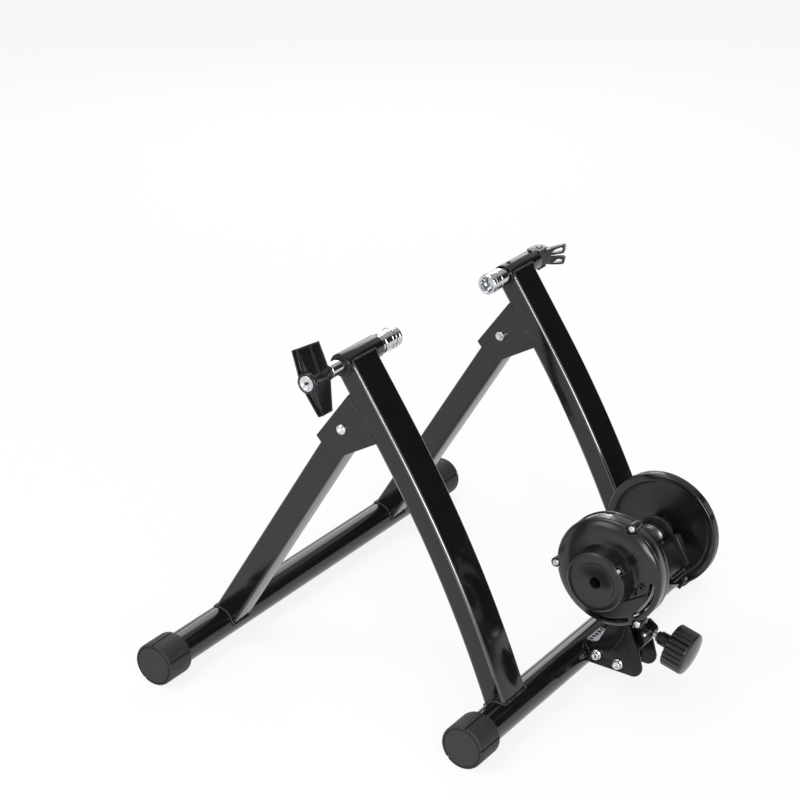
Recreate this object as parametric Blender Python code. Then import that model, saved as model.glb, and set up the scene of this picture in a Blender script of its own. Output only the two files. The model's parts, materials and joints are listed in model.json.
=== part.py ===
"""Folding magnetic bike trainer: an A-frame stand that clamps the rear axle from both sides, and a
roller unit behind the wheel whose magnetic brake and flywheel load the tyre.

Metres, +Z up, floor at Z = 0. +X points to the rear of the bicycle and +Y to its right side. The
sizes below measure X from the axle line. The whole model then moves along X by MIDDLE_SHIFT, so that
its origin lies on the floor in the middle of its length and width."""

import math

import bmesh
import bpy
from mathutils import Vector

GAP = 0.0003  # clearance between pieces that touch

# Feet: two round tubes across the floor, closed by slotted rubber caps
FRONT_TUBE_X = -0.178
REAR_TUBE_X = 0.1925
FRONT_HALF_WIDTH = 0.297
REAR_HALF_WIDTH = 0.257
TUBE_RADIUS = 0.0185
TUBE_WALL = 0.0015
CAP_RADIUS = 0.0245
CAP_LENGTH = 0.038
CAP_FLOOR = 0.004
CAP_FACE_RADIUS = 0.0205
CAP_SLOTS = 5
CAP_SLOT_WIDTH = 0.002
CAP_SLOT_DEPTH = 0.0016
CAP_FIRST_SLOT = math.radians(7)

# Uprights: bent rectangular tubes from the rear foot to the axle barrels
AXLE_HEIGHT = 0.3806
UPRIGHT_Y = 0.1625
UPRIGHT_WIDTH = 0.045
UPRIGHT_DEPTH = 0.025
UPRIGHT_WALL = 0.0015
UPRIGHT_CORNER = 0.003
UPRIGHT_LEAN = math.radians(33.7)
UPRIGHT_STRAIGHT = 0.091
UPRIGHT_BEND_STEPS = 7

# Axle barrels and what slides in them
BARREL_RADIUS = 0.0125
BARREL_WALL = 0.002
LEFT_BARREL = (-0.1895, -0.1253)
RIGHT_BARREL = (0.137, 0.205)
BUSH_LENGTH = 0.026
SPINDLE_RADIUS = 0.008
SLEEVE_RADIUS = 0.010
SLEEVE_REACH = 0.026
SLEEVE_OVERLAP = 0.012
CUP_RADIUS = 0.0115
CUP_LENGTH = 0.010
CUP_MOUTH_RADIUS = 0.0078
CUP_MOUTH_DEPTH = 0.009
CUP_FLOOR = 0.003

# Left clamp handle
HANDLE_OFFSET = 0.0229
HANDLE_NECK_RADIUS = 0.0085
HANDLE_NECK_LENGTH = 0.012
HANDLE_HUB_RADIUS = 0.0116
HANDLE_HUB_LENGTH = 0.0245
HANDLE_TILT = math.radians(27.5)
WING_REACH = 0.0365
WING_ROOT_HALF = 0.0090
WING_TIP_HALF = 0.0038
WING_ROOT_DEPTH = 0.0310
WING_TOP_TIP = (0.0022, 0.0391)  # where the tip's end face starts and ends, from the hub's outer face
WING_LOW_TIP = (0.0002, 0.0168)
WING_TOP_SLOPE = 0.0034
WING_LOW_SLOPE = 0.0
WING_RIM = 0.0022
WING_RECESS = 0.0022
HANDLE_BOLT_RADIUS = 0.0035
HANDLE_BOLT_LENGTH = 0.052
HANDLE_BOLT_HEAD = 0.0070
HANDLE_BOLT_HEAD_HEIGHT = 0.0030

# Right clamp lever: a forked cam lever on a vertical pin
YOKE_PLATE = 0.0025
YOKE_HALF_WIDTH = 0.0085
LEVER_HALF_HEIGHT = 0.0088
LEVER_PIN_RADIUS = 0.0025
LEVER_PIN_HEAD = 0.0040
LEVER_PIN_HEAD_HEIGHT = 0.0012
CAM_HIGH = 0.0112
CAM_TRAVEL = 0.0040
CAM_SWEEP = math.radians(90)
LEVER_ANGLE = math.radians(34)
LEVER_REACH = 0.037
LEVER_ROOT_HALF = 0.0078
LEVER_TIP_HALF = 0.0062
LEVER_WINDOW = (0.0150, 0.0310)
LEVER_WINDOW_HALF = 0.0036
LEVER_FORK_HALF = 0.0040

# Gusset plates: folded channels welded to the front of the uprights. Their corners are given as
# (distance down the upright from the axle, distance in front of the upright's face).
GUSSET_WALL = 0.003
GUSSET_TOP = 0.031
GUSSET_NOSE_TOP = (0.054, 0.0651)
GUSSET_NOSE_LOW = (0.0847, 0.0608)
GUSSET_BOTTOM = 0.0894
FOLD_AXIS = (0.0601, 0.030)
FOLD_BOLT_RADIUS = 0.003
FOLD_BOLT_HEAD = 0.00525
FOLD_BOLT_HEAD_HEIGHT = 0.0034
FOLD_NUT_FLATS = 0.010
FOLD_NUT_HEIGHT = 0.005

# Front legs
LEG_SIZE = 0.030
LEG_WALL = 0.0015
LEG_CORNER = 0.003
LEG_HEAD = 0.016
LEG_BUSH_RADIUS = 0.008

# Mount behind the rear tube
PLATE_HALF_SPAN = 0.0185
PLATE_WALL = 0.003
LUG_WALL = 0.003
LUG_WEB = 0.004
LUG_TOP = 0.0175  # above the tube's centre
PLATE_LOBE = (REAR_TUBE_X + 0.0700, 0.0275)
PLATE_LOBE_RADIUS = 0.012
PLATE_TOP = 0.0785
PLATE_RIB_RADIUS = 0.0012
PLATE_RIB_SINK = 0.0003
FRONT_BOLT = (REAR_TUBE_X + 0.0264, 0.0294)
PIVOT = (REAR_TUBE_X + 0.0533, 0.0258)
PIVOT_BOSS_RADIUS = 0.010
MOUNT_BOLT_RADIUS = 0.003
BOLT_FLATS = 0.010
BOLT_HEAD_HEIGHT = 0.0050
BOLT_FLANGE_RADIUS = 0.0066
BOLT_FLANGE_HEIGHT = 0.0012
STRIP_LENGTH = 0.030
STRIP_DEPTH = 0.0125
STRIP_THICKNESS = 0.0015
STRIP_HOLES = 5
STRIP_HOLE = 0.0038

# Tension adjuster: a screw through a trunnion between the lug's ears, pressing on the cradle's neck
TRUNNION = (PIVOT[0] + 0.0267, PIVOT[1] + 0.0406)
TRUNNION_RADIUS = 0.0070
TRUNNION_END_RADIUS = 0.0045
TRUNNION_HEAD_RADIUS = 0.0066
TRUNNION_HEAD = 0.0020
EAR_RADIUS = 0.012
SCREW_SLOPE = math.radians(15.7)
SCREW_RADIUS = 0.004
SCREW_TIP = 0.0212  # from the trunnion's axis forward to the neck's rear wall
TIP_RADIUS = 0.0060
TIP_NOSE_RADIUS = 0.0065
TIP_LENGTH = 0.0045
TIP_FLOOR = 0.0024
KNOB_NECK_START = 0.0108
KNOB_NECK_RADIUS = 0.0075
KNOB_NECK_LENGTH = 0.0175
KNOB_RADIUS = 0.025
KNOB_FLUTES = 12
KNOB_FLUTE_DEPTH = 0.0028
KNOB_GRIP = 0.0200
KNOB_DOME = 0.0090
KNOB_SOCKET = 0.024

# Cradle: neck on the pivot bolt, web plate, and two arms that hold the roller's bearings
NECK_HALF_WIDTH = 0.0119
NECK_WALL = 0.003
NECK_DEPTH = 0.0168
NECK_FOOT = 0.0190  # heights on the neck, measured square to the screw from the pivot
NECK_SHOULDER = 0.038
NECK_OPEN_BELOW = 0.024
NECK_FRONT_TOP = 0.100
NECK_REAR_TOP = 0.1160
NECK_INSIDE_TOP = 0.118
NECK_CROWN = 0.1215
NECK_SEAT = (0.0077, 0.1290)
NECK_LIP = (0.0087, 0.1235)
NECK_CROWN_SET = 0.0068
ROLLER_AXIS = (PIVOT[0] + 0.0057, PIVOT[1] + 0.1327)
ARM_RADIUS = 0.0195
ARM_INNER = 0.039
ARM_WALL = 0.004
WEB_TOP = (ROLLER_AXIS[0] + 0.0242, ROLLER_AXIS[1] + 0.0065)
WEB_BOTTOM = (ROLLER_AXIS[0] + 0.0407, ROLLER_AXIS[1] - 0.0230)
WEB_THICKNESS = 0.003
WEB_HALF_WIDTH = 0.0424
ARM_PROUD = 0.35  # share of the web's thickness by which the arms stand out behind it

# Roller unit, along Y. The brake is on the left and the flywheel on the right.
BEARING_RADIUS = 0.013
BEARING_WIDTH = 0.008
SHAFT_RADIUS = 0.005
SHAFT_ENDS = (-0.0570, 0.0720)
ROLLER_RADIUS = 0.015
ROLLER_HALF = 0.0366
BACKPLATE_THICKNESS = 0.003
ROTOR_RADIUS = 0.0577
ROTOR_FACE = -0.0520
ROTOR_THICKNESS = 0.002
ROTOR_RIM = 0.0022
ROTOR_RIM_END = -0.0470
ROTOR_HUB_RADIUS = 0.010
MAGNET_PLATE_RADIUS = 0.047
MAGNET_PLATE_FACES = (-0.0604, -0.0570)
COVER_RADIUS = 0.0615
COVER_WALL = 0.0022
COVER_BACK = -0.037
COVER_EDGE = -0.062
COVER_CROWN = -0.0682
BOSS_RADIUS = 0.033
BOSS_FACE = -0.088
BOSS_HOLE_RADIUS = 0.005
SPIGOT_RADIUS = 0.008
COVER_EARS = 3
COVER_FIRST_EAR = math.radians(66)
COVER_EAR_RADIUS = 0.0042
FLYWHEEL_RADIUS = 0.0655
FLYWHEEL_RIM = (0.0580, 0.0700)
FLYWHEEL_RIM_WIDTH = 0.0085
FLYWHEEL_WEB = (0.0630, 0.0668)
FLYWHEEL_HUB_RADIUS = 0.013
FLYWHEEL_NUT_FLATS = 0.015
FLYWHEEL_NUT_HEIGHT = 0.005

# Wire loop that hangs on the cradle's web
LOOP_RADIUS = 0.0014
LOOP_SPAN = (0.008, 0.037)
LOOP_REACH = 0.016
LOOP_BEND = 0.004

# Sides of round pieces, by size. A hexagon head needs SMALL to be a multiple of six.
SMALL = 12
MEDIUM = 20
WIDE = 24
LARGE = 36

# Finishes as base colour, roughness and metallic value
FINISHES = {
    "black_paint": ((0.012, 0.012, 0.013), 0.32, 0.0),
    "gloss_plastic": ((0.011, 0.011, 0.013), 0.26, 0.0),
    "black_bush": ((0.010, 0.010, 0.011), 0.50, 0.0),
    "rubber": ((0.045, 0.045, 0.050), 0.65, 0.0),
    "chrome": ((0.80, 0.81, 0.83), 0.12, 1.0),
    "zinc": ((0.62, 0.64, 0.67), 0.30, 1.0),
    "bare_steel": ((0.55, 0.56, 0.58), 0.35, 1.0),
}

TUBE_HEIGHT = CAP_RADIUS
AXLE = Vector((0, AXLE_HEIGHT))


def heading(lean):
    """Unit vector in the XZ plane that runs down and rearward, lean radians from vertical."""
    return Vector((math.sin(lean), -math.cos(lean)))


def facing(lean):
    """Unit vector in the XZ plane that is square to heading, on its rear side."""
    return Vector((math.cos(lean), math.sin(lean)))


def on_upright(down, forward):
    """Point in the XZ plane beside the upright's straight part, measured from the axle."""
    front = UPRIGHT_DEPTH / 2 + forward
    return AXLE + heading(UPRIGHT_LEAN) * down - facing(UPRIGHT_LEAN) * front


FOLD_POINT = on_upright(*FOLD_AXIS)
SCREW_WAY = Vector((math.cos(SCREW_SLOPE), -math.sin(SCREW_SLOPE)))
SCREW_UP = Vector((math.sin(SCREW_SLOPE), math.cos(SCREW_SLOPE)))
KNOB_END = KNOB_NECK_START + KNOB_NECK_LENGTH + KNOB_GRIP + KNOB_DOME
REAR_END = TRUNNION[0] + KNOB_END * SCREW_WAY.x
MIDDLE_SHIFT = -(REAR_END + FRONT_TUBE_X - CAP_RADIUS) / 2
LEVER_PIN_Y = RIGHT_BARREL[1] + GAP + YOKE_PLATE + GAP + CAM_HIGH


def make_material(name, finish):
    colour, roughness, metallic = FINISHES[finish]
    material = bpy.data.materials.new(name)
    material.use_nodes = True
    shader = material.node_tree.nodes["Principled BSDF"]
    shader.inputs["Base Color"].default_value = (*colour, 1)
    shader.inputs["Roughness"].default_value = roughness
    shader.inputs["Metallic"].default_value = metallic
    return material


def make_object(name, shape, finish=None):
    """Turns a bmesh into an object, as a visible piece if it has a finish and as a cutter if not."""
    bmesh.ops.recalc_face_normals(shape, faces=shape.faces)
    mesh = bpy.data.meshes.new(name)
    shape.to_mesh(mesh)
    shape.free()
    mesh.shade_smooth()
    mesh.set_sharp_from_angle(angle=math.radians(35))
    piece = bpy.data.objects.new(name, mesh)
    bpy.context.scene.collection.objects.link(piece)
    if finish:
        mesh.materials.append(make_material(name, finish))
    else:
        piece.hide_render = True
        piece.display_type = "WIRE"
    return piece


def place(x, along, y):
    """Puts the flat coordinates x and y and the offset along an axis in 3D, for each named axis."""
    return {"X": (along, x, y), "Y": (x, along, y), "Z": (x, y, along)}


def turned(name, profile, finish=None, axis="Y", sides=MEDIUM):
    """Revolves (radius, offset) points. A profile that leaves the axis closes on itself as a ring."""
    shape = bmesh.new()
    points = [shape.verts.new(place(0, offset, -radius)[axis]) for radius, offset in profile]
    edges = [shape.edges.new(pair) for pair in zip(points, points[1:])]
    if min(radius for radius, _ in profile) > 0:
        edges.append(shape.edges.new((points[-1], points[0])))
    bmesh.ops.spin(
        shape,
        geom=points + edges,
        cent=(0, 0, 0),
        axis=place(0, 1, 0)[axis],
        angle=math.tau,
        steps=sides,
        use_merge=True,
    )
    bmesh.ops.remove_doubles(shape, verts=shape.verts, dist=1e-6)
    return make_object(name, shape, finish)


def prism(name, outline, low, high, finish=None, axis="Y"):
    """Extrudes a flat outline from low to high along an axis."""
    shape = bmesh.new()
    corners = [shape.verts.new(place(point[0], low, point[1])[axis]) for point in outline]
    face = shape.faces.new(corners)
    grown = bmesh.ops.extrude_face_region(shape, geom=[face])["geom"]
    tops = [part for part in grown if isinstance(part, bmesh.types.BMVert)]
    bmesh.ops.translate(shape, verts=tops, vec=place(0, high - low, 0)[axis])
    return make_object(name, shape, finish)


def skinned(name, loops, finish=None, ring=False):
    """Skins loops of equally many points, capped at both ends or joined end to start as a ring."""
    shape = bmesh.new()
    rows = [[shape.verts.new(point) for point in loop] for loop in loops]
    above = rows[1:] + rows[:1] if ring else rows[1:]
    for low, high in zip(rows, above):
        for i in range(len(low)):
            shape.faces.new((low[i - 1], low[i], high[i], high[i - 1]))
    if not ring:
        shape.faces.new(rows[0])
        shape.faces.new(rows[-1])
    return make_object(name, shape, finish)


def rod(name, radius, low, high, finish=None, axis="Y", sides=SMALL):
    return turned(name, [(0, low), (radius, low), (radius, high), (0, high)], finish, axis, sides)


def pipe(name, outer, inner, low, high, finish, sides=MEDIUM):
    profile = [(outer, low), (outer, high), (inner, high), (inner, low)]
    return turned(name, profile, finish, "Y", sides)


def apply_boolean(piece, other, operation):
    modifier = piece.modifiers.new(operation.title(), "BOOLEAN")
    modifier.operation = operation
    modifier.object = other
    other.parent = other.parent or piece


def cut(piece, *cutters):
    for cutter in cutters:
        apply_boolean(piece, cutter, "DIFFERENCE")
    return piece


def add(piece, *others):
    for other in others:
        apply_boolean(piece, other, "UNION")
    return piece


def moved(piece, x=0.0, y=0.0, z=0.0):
    piece.location = (x, y, z)
    return piece


def hole(radius, place_xz, low, high, sides=SMALL):
    """Cutter for a round hole along Y at a point of the XZ plane."""
    return moved(rod("hole", radius, low, high, sides=sides), place_xz[0], 0, place_xz[1])


def arc(centre, radius, start, end, steps):
    """Points of an arc from one angle to another, in degrees, both ends included."""
    angles = [math.radians(start + (end - start) * i / steps) for i in range(steps + 1)]
    return [(centre[0] + radius * math.cos(a), centre[1] + radius * math.sin(a)) for a in angles]


def rounded_box(half_width, half_depth, corner):
    """Outline of a rectangle with rounded corners, two segments to each."""
    outline = []
    for x, y, start in ((1, 1, 0), (-1, 1, 90), (-1, -1, 180), (1, -1, 270)):
        centre = (x * (half_width - corner), y * (half_depth - corner))
        outline += arc(centre, corner, start, start + 90, 2)
    return outline


def square_tube(name, stations, width, depth, wall, corner, finish):
    """Hollow tube of rounded rectangular section through (point, lean) stations in the XZ plane."""
    outer = rounded_box(width / 2, depth / 2, corner)
    inner = rounded_box(width / 2 - wall, depth / 2 - wall, max(corner - wall, corner / 4))
    loops = []
    for section, way in ((outer, stations), (inner, stations[::-1])):
        for point, lean in way:
            side = facing(lean)
            loop = [(point.x + side.x * v, u, point.y + side.y * v) for u, v in section]
            loops.append(loop)
    return skinned(name, loops, finish, ring=True)


def hexagon(flats, count=SMALL):
    """Points of a hexagon, spread so that it can be skinned to a circle of as many points."""
    points = []
    for i in range(count):
        angle = math.tau * i / count
        radius = flats / 2 / math.cos((angle + math.pi / 6) % (math.pi / 3) - math.pi / 6)
        points.append((radius * math.cos(angle), radius * math.sin(angle)))
    return points


def circle(radius, count=SMALL):
    return [
        (radius * math.cos(math.tau * i / count), radius * math.sin(math.tau * i / count))
        for i in range(count)
    ]


def stacked(name, sections, finish, axis="Y"):
    """Skins (offset, outline) sections along an axis."""
    loops = [[place(u, offset, v)[axis] for u, v in outline] for offset, outline in sections]
    return skinned(name, loops, finish)


def flange_bolt(name, radius, grip, tail):
    """Hexagon flange bolt along +Y. Its head seats at y = 0, and grip and tail give its shank."""
    sections = [
        (-BOLT_HEAD_HEIGHT, hexagon(BOLT_FLATS - 0.0012)),
        (-BOLT_HEAD_HEIGHT + 0.0005, hexagon(BOLT_FLATS)),
        (-BOLT_FLANGE_HEIGHT, hexagon(BOLT_FLATS)),
        (-BOLT_FLANGE_HEIGHT, circle(BOLT_FLANGE_RADIUS)),
        (0, circle(BOLT_FLANGE_RADIUS)),
        (0, circle(radius)),
        (grip + tail, circle(radius)),
    ]
    return stacked(name, sections, "zinc")


def nut(name, flats, height, bore, finish="zinc"):
    """Hexagon nut along +Y, from y = 0."""
    loops = []
    for offset, outline in (
        (0, hexagon(flats)),
        (height, hexagon(flats)),
        (height, circle(bore)),
        (0, circle(bore)),
    ):
        loops.append([(u, offset, v) for u, v in outline])
    return skinned(name, loops, finish, ring=True)


def empty(name, parent=None, location=(0, 0, 0), rotation=(0, 0, 0)):
    axis = bpy.data.objects.new(name, None)
    bpy.context.scene.collection.objects.link(axis)
    axis.parent = parent
    axis.location = location
    axis.rotation_euler = rotation
    return axis


def hang(parent, *pieces):
    for piece in pieces:
        piece.parent = parent
    return pieces


def foot_tube(name, half_width, x):
    half = half_width - CAP_FLOOR - GAP
    inner = TUBE_RADIUS - TUBE_WALL
    tube = pipe(name, TUBE_RADIUS, inner, -half, half, "black_paint", WIDE)
    return moved(tube, x, 0, TUBE_HEIGHT)


def foot_cap(name, x, end, side):
    """Rubber cup over a tube's end. Its closed face is at y = 0 and it runs along +Y, until turned."""
    bore = TUBE_RADIUS + GAP
    groove = 0.0007
    profile = [
        (0, 0),
        (CAP_FACE_RADIUS, 0),
        (CAP_FACE_RADIUS + groove / 2, groove),
        (CAP_FACE_RADIUS + groove, 0),
        (CAP_RADIUS - 0.0014, 0.0002),
        (CAP_RADIUS, 0.0020),
        (CAP_RADIUS, CAP_LENGTH - 0.0030),
        (CAP_RADIUS - 0.0022, CAP_LENGTH),
        (bore, CAP_LENGTH),
        (bore, CAP_FLOOR),
        (0, CAP_FLOOR),
    ]
    cap = turned(name, profile, "rubber", sides=WIDE)
    for i in range(CAP_SLOTS):
        slot = box("cap_slot", CAP_SLOT_DEPTH * 2, CAP_LENGTH * 0.86, CAP_SLOT_WIDTH)
        angle = CAP_FIRST_SLOT + math.tau * i / CAP_SLOTS
        slot.rotation_euler = (0, -angle, 0)
        middle = CAP_LENGTH * 0.43 - CAP_SLOT_DEPTH
        moved(slot, CAP_RADIUS * math.cos(angle), middle, CAP_RADIUS * math.sin(angle))
        cut(cap, slot)
    cap.rotation_euler = (0, 0, math.pi if side > 0 else 0)
    return moved(cap, x, side * end, TUBE_HEIGHT)


def box(name, x, y, z, finish=None):
    shape = bmesh.new()
    bmesh.ops.create_cube(shape, size=1)
    bmesh.ops.scale(shape, verts=shape.verts, vec=(x, y, z))
    return make_object(name, shape, finish)


def upright_stations():
    """(point, lean) stations: a straight part under the axle, then one bend to the rear tube."""
    start = AXLE + heading(UPRIGHT_LEAN) * UPRIGHT_STRAIGHT
    chord = Vector((REAR_TUBE_X, TUBE_HEIGHT)) - start
    turn = 2 * (UPRIGHT_LEAN - math.atan2(chord.x, -chord.y))
    radius = chord.length / 2 / math.sin(turn / 2)
    centre = start - facing(UPRIGHT_LEAN) * radius
    stations = [(AXLE, UPRIGHT_LEAN)]
    for i in range(UPRIGHT_BEND_STEPS + 1):
        lean = UPRIGHT_LEAN - turn * i / UPRIGHT_BEND_STEPS
        stations.append((centre + facing(lean) * radius, lean))
    return stations


def upright(name, side):
    size = (UPRIGHT_WIDTH, UPRIGHT_DEPTH, UPRIGHT_WALL, UPRIGHT_CORNER)
    tube = square_tube(name, upright_stations(), *size, "black_paint")
    reach = UPRIGHT_WIDTH
    cope_top = hole(BARREL_RADIUS + GAP, AXLE, -reach, reach, WIDE)
    cope_foot = hole(TUBE_RADIUS + GAP, (REAR_TUBE_X, TUBE_HEIGHT), -reach, reach, WIDE)
    return moved(cut(tube, cope_top, cope_foot), 0, side * UPRIGHT_Y, 0)


def gusset(name, side):
    """Channel whose web lies on the upright's front face. The leg folds between its two cheeks."""
    outline = [
        on_upright(GUSSET_TOP, GAP),
        on_upright(*GUSSET_NOSE_TOP),
        on_upright(*GUSSET_NOSE_LOW),
        on_upright(GUSSET_BOTTOM, GAP),
    ]
    half = UPRIGHT_WIDTH / 2
    plate = prism(name, outline, -half, half, "black_paint")
    front = GAP + GUSSET_WALL
    reach = 0.2
    room = [
        on_upright(-reach, front),
        on_upright(-reach, front + reach),
        on_upright(reach, front + reach),
        on_upright(reach, front),
    ]
    inner = half - GUSSET_WALL
    cut(plate, prism("leg_room", room, -inner, inner))
    cut(plate, hole(FOLD_BOLT_RADIUS + GAP, FOLD_POINT, -reach, reach))
    return moved(plate, 0, side * UPRIGHT_Y, 0)


def fold_bolt(name, side):
    """Round-headed bolt through gusset, bush and leg. Its head is on the outer side."""
    half = UPRIGHT_WIDTH / 2 + GAP
    head, height = FOLD_BOLT_HEAD, FOLD_BOLT_HEAD_HEIGHT
    tail = half + FOLD_NUT_HEIGHT + 0.002
    profile = [
        (0, -half - height),
        (head * 0.62, -half - height),
        (head * 0.92, -half - height * 0.62),
        (head, -half - height * 0.2),
        (head, -half),
        (FOLD_BOLT_RADIUS, -half),
        (FOLD_BOLT_RADIUS, tail),
        (0, tail),
    ]
    bolt = turned(name, profile, "zinc", sides=SMALL)
    bolt.rotation_euler = (0, 0, math.pi if side > 0 else 0)
    return moved(bolt, FOLD_POINT.x, side * UPRIGHT_Y, FOLD_POINT.y)


def fold_nut(name, side):
    piece = nut(name, FOLD_NUT_FLATS, FOLD_NUT_HEIGHT, FOLD_BOLT_RADIUS + GAP)
    piece.rotation_euler = (0, 0, math.pi if side > 0 else 0)
    seat = UPRIGHT_Y - UPRIGHT_WIDTH / 2 - GAP
    return moved(piece, FOLD_POINT.x, side * seat, FOLD_POINT.y)


def leg(name, side):
    """Square tube from the front foot tube to the fold bolt, in the frame of the fold axis."""
    foot = Vector((FRONT_TUBE_X, TUBE_HEIGHT)) - FOLD_POINT
    lean = math.atan2(foot.x, -foot.y)
    head = -heading(lean) * LEG_HEAD
    stations = [(head, lean), (foot, lean)]
    size = (LEG_SIZE, LEG_SIZE, LEG_WALL, LEG_CORNER)
    tube = square_tube(name, stations, *size, "black_paint")
    reach = LEG_SIZE
    cut(tube, hole(TUBE_RADIUS + GAP, foot, -reach, reach, WIDE))
    cut(tube, hole(LEG_BUSH_RADIUS + GAP, (0, 0), -reach, reach))
    return moved(tube, 0, side * UPRIGHT_Y, 0)


def leg_bush(name, side):
    half = UPRIGHT_WIDTH / 2 - GUSSET_WALL - GAP
    bore = FOLD_BOLT_RADIUS + GAP
    return moved(pipe(name, LEG_BUSH_RADIUS, bore, -half, half, "bare_steel", SMALL), 0, side * UPRIGHT_Y)


def barrel_bush(name, low, high):
    outer = BARREL_RADIUS - BARREL_WALL - GAP
    return pipe(name, outer, SPINDLE_RADIUS + GAP, low, high, "black_bush")


def barrel(name, ends):
    return pipe(name, BARREL_RADIUS, BARREL_RADIUS - BARREL_WALL, *ends, "black_paint")


def axle_cup(name):
    """Chrome cup for the axle nut. Its mouth faces +Y, and y = 0 is the barrel's inner end."""
    flange = SLEEVE_REACH
    mouth = flange + CUP_LENGTH
    floor = mouth - CUP_MOUTH_DEPTH
    bore = SPINDLE_RADIUS + GAP
    profile = [
        (SLEEVE_RADIUS, -SLEEVE_OVERLAP),
        (SLEEVE_RADIUS, flange),
        (CUP_RADIUS - 0.0006, flange),
        (CUP_RADIUS, flange + 0.0006),
        (CUP_RADIUS, mouth - 0.0008),
        (CUP_RADIUS - 0.0008, mouth),
        (CUP_MOUTH_RADIUS + 0.0012, mouth),
        (CUP_MOUTH_RADIUS, mouth - 0.0014),
        (CUP_MOUTH_RADIUS - 0.0008, floor),
        (0, floor),
        (0, floor - CUP_FLOOR),
        (bore, floor - CUP_FLOOR),
        (bore, -SLEEVE_OVERLAP),
        (SLEEVE_RADIUS, -SLEEVE_OVERLAP),
    ]
    return turned(name, profile, "chrome")


def spindle_inner_end():
    """Distance from a barrel's inner end to the spindle's end in its cup."""
    return SLEEVE_REACH + CUP_LENGTH - CUP_MOUTH_DEPTH - CUP_FLOOR - GAP


def wing(name, tip, slope, way):
    """One wing of the handle, along way * local Z: it tapers to its tip and has a channelled face."""
    back = -HANDLE_HUB_LENGTH - HANDLE_NECK_LENGTH
    thinning = (WING_ROOT_HALF - WING_TIP_HALF) / WING_REACH
    root = ((back, 0.0), (back + WING_ROOT_DEPTH, 0.0))
    end = ((back + tip[0], WING_REACH), (back + tip[1], WING_REACH - slope))
    shape = bmesh.new()
    rows = []
    for station in (root, end):
        row = []
        for (y, reach), signs in zip(station, ((-1, 1), (1, -1))):
            half = WING_ROOT_HALF - thinning * reach
            row += [shape.verts.new((sign * half, y, way * reach)) for sign in signs]
        rows.append(row)
    shape.faces.new(rows[0])
    shape.faces.new(rows[1])
    sides = [
        shape.faces.new((rows[0][i - 1], rows[0][i], rows[1][i], rows[1][i - 1])) for i in range(4)
    ]
    bmesh.ops.recalc_face_normals(shape, faces=shape.faces)
    channel = [sides[2], sides[0]]
    bmesh.ops.inset_individual(
        shape, faces=channel, thickness=WING_RIM, depth=-WING_RECESS, use_even_offset=True
    )
    return make_object(name, shape)


def left_handle():
    """T-handle. Its local origin is the end of its neck, on the spindle's axis."""
    low = -HANDLE_HUB_LENGTH - HANDLE_NECK_LENGTH
    mid = -HANDLE_NECK_LENGTH
    hub, neck = HANDLE_HUB_RADIUS, HANDLE_NECK_RADIUS
    profile = [
        (0, low - 0.0006),
        (hub - 0.0015, low - 0.0006),
        (hub, low + 0.0009),
        (hub, mid - 0.001),
        (neck, mid + 0.003),
        (neck, 0),
        (0, 0),
    ]
    handle = turned("left_handle", profile, "gloss_plastic")
    add(handle, wing("top_wing", WING_TOP_TIP, WING_TOP_SLOPE, 1))
    add(handle, wing("low_wing", WING_LOW_TIP, WING_LOW_SLOPE, -1))
    bore = HANDLE_BOLT_RADIUS + GAP
    cut(handle, rod("bolt_hole", bore, low - 0.01, 0.01))
    seat = low + HANDLE_BOLT_HEAD_HEIGHT
    cut(handle, rod("bolt_seat", HANDLE_BOLT_HEAD + GAP, low - 0.01, seat + GAP, sides=MEDIUM))
    return handle


def left_handle_bolt():
    low = -HANDLE_HUB_LENGTH - HANDLE_NECK_LENGTH
    seat = low + HANDLE_BOLT_HEAD_HEIGHT
    tail = low + HANDLE_BOLT_LENGTH
    profile = [
        (0, low + 0.0004),
        (HANDLE_BOLT_HEAD - 0.0012, low),
        (HANDLE_BOLT_HEAD, low + 0.0008),
        (HANDLE_BOLT_HEAD, seat),
        (HANDLE_BOLT_RADIUS, seat),
        (HANDLE_BOLT_RADIUS, tail),
        (0, tail),
    ]
    return turned("left_handle_bolt", profile, "zinc", sides=MEDIUM)


def left_spindle(neck_y):
    """Chrome spindle from the handle to the cup, bored at its outer end for the handle's bolt."""
    start = neck_y + GAP
    end = LEFT_BARREL[1] + spindle_inner_end()
    bore = HANDLE_BOLT_RADIUS + GAP
    bottom = neck_y - HANDLE_HUB_LENGTH - HANDLE_NECK_LENGTH + HANDLE_BOLT_LENGTH + 0.002
    profile = [
        (bore, start),
        (SPINDLE_RADIUS, start),
        (SPINDLE_RADIUS, end),
        (0, end),
        (0, bottom),
        (bore, bottom),
        (bore, start),
    ]
    return turned("left_spindle", profile, "chrome")


def cam_profile():
    """Cam outline about the pin, in (x, y): each degree of swing lets a flat follower out evenly."""
    slope = CAM_TRAVEL / CAM_SWEEP
    points = []
    for i in range(-2, 9):
        swing = CAM_SWEEP * i / 7
        lift = CAM_HIGH - slope * swing
        out = Vector((-math.sin(swing), -math.cos(swing)))
        across = Vector((-math.cos(swing), math.sin(swing)))
        points.append(out * lift - across * slope)
    return points


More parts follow.
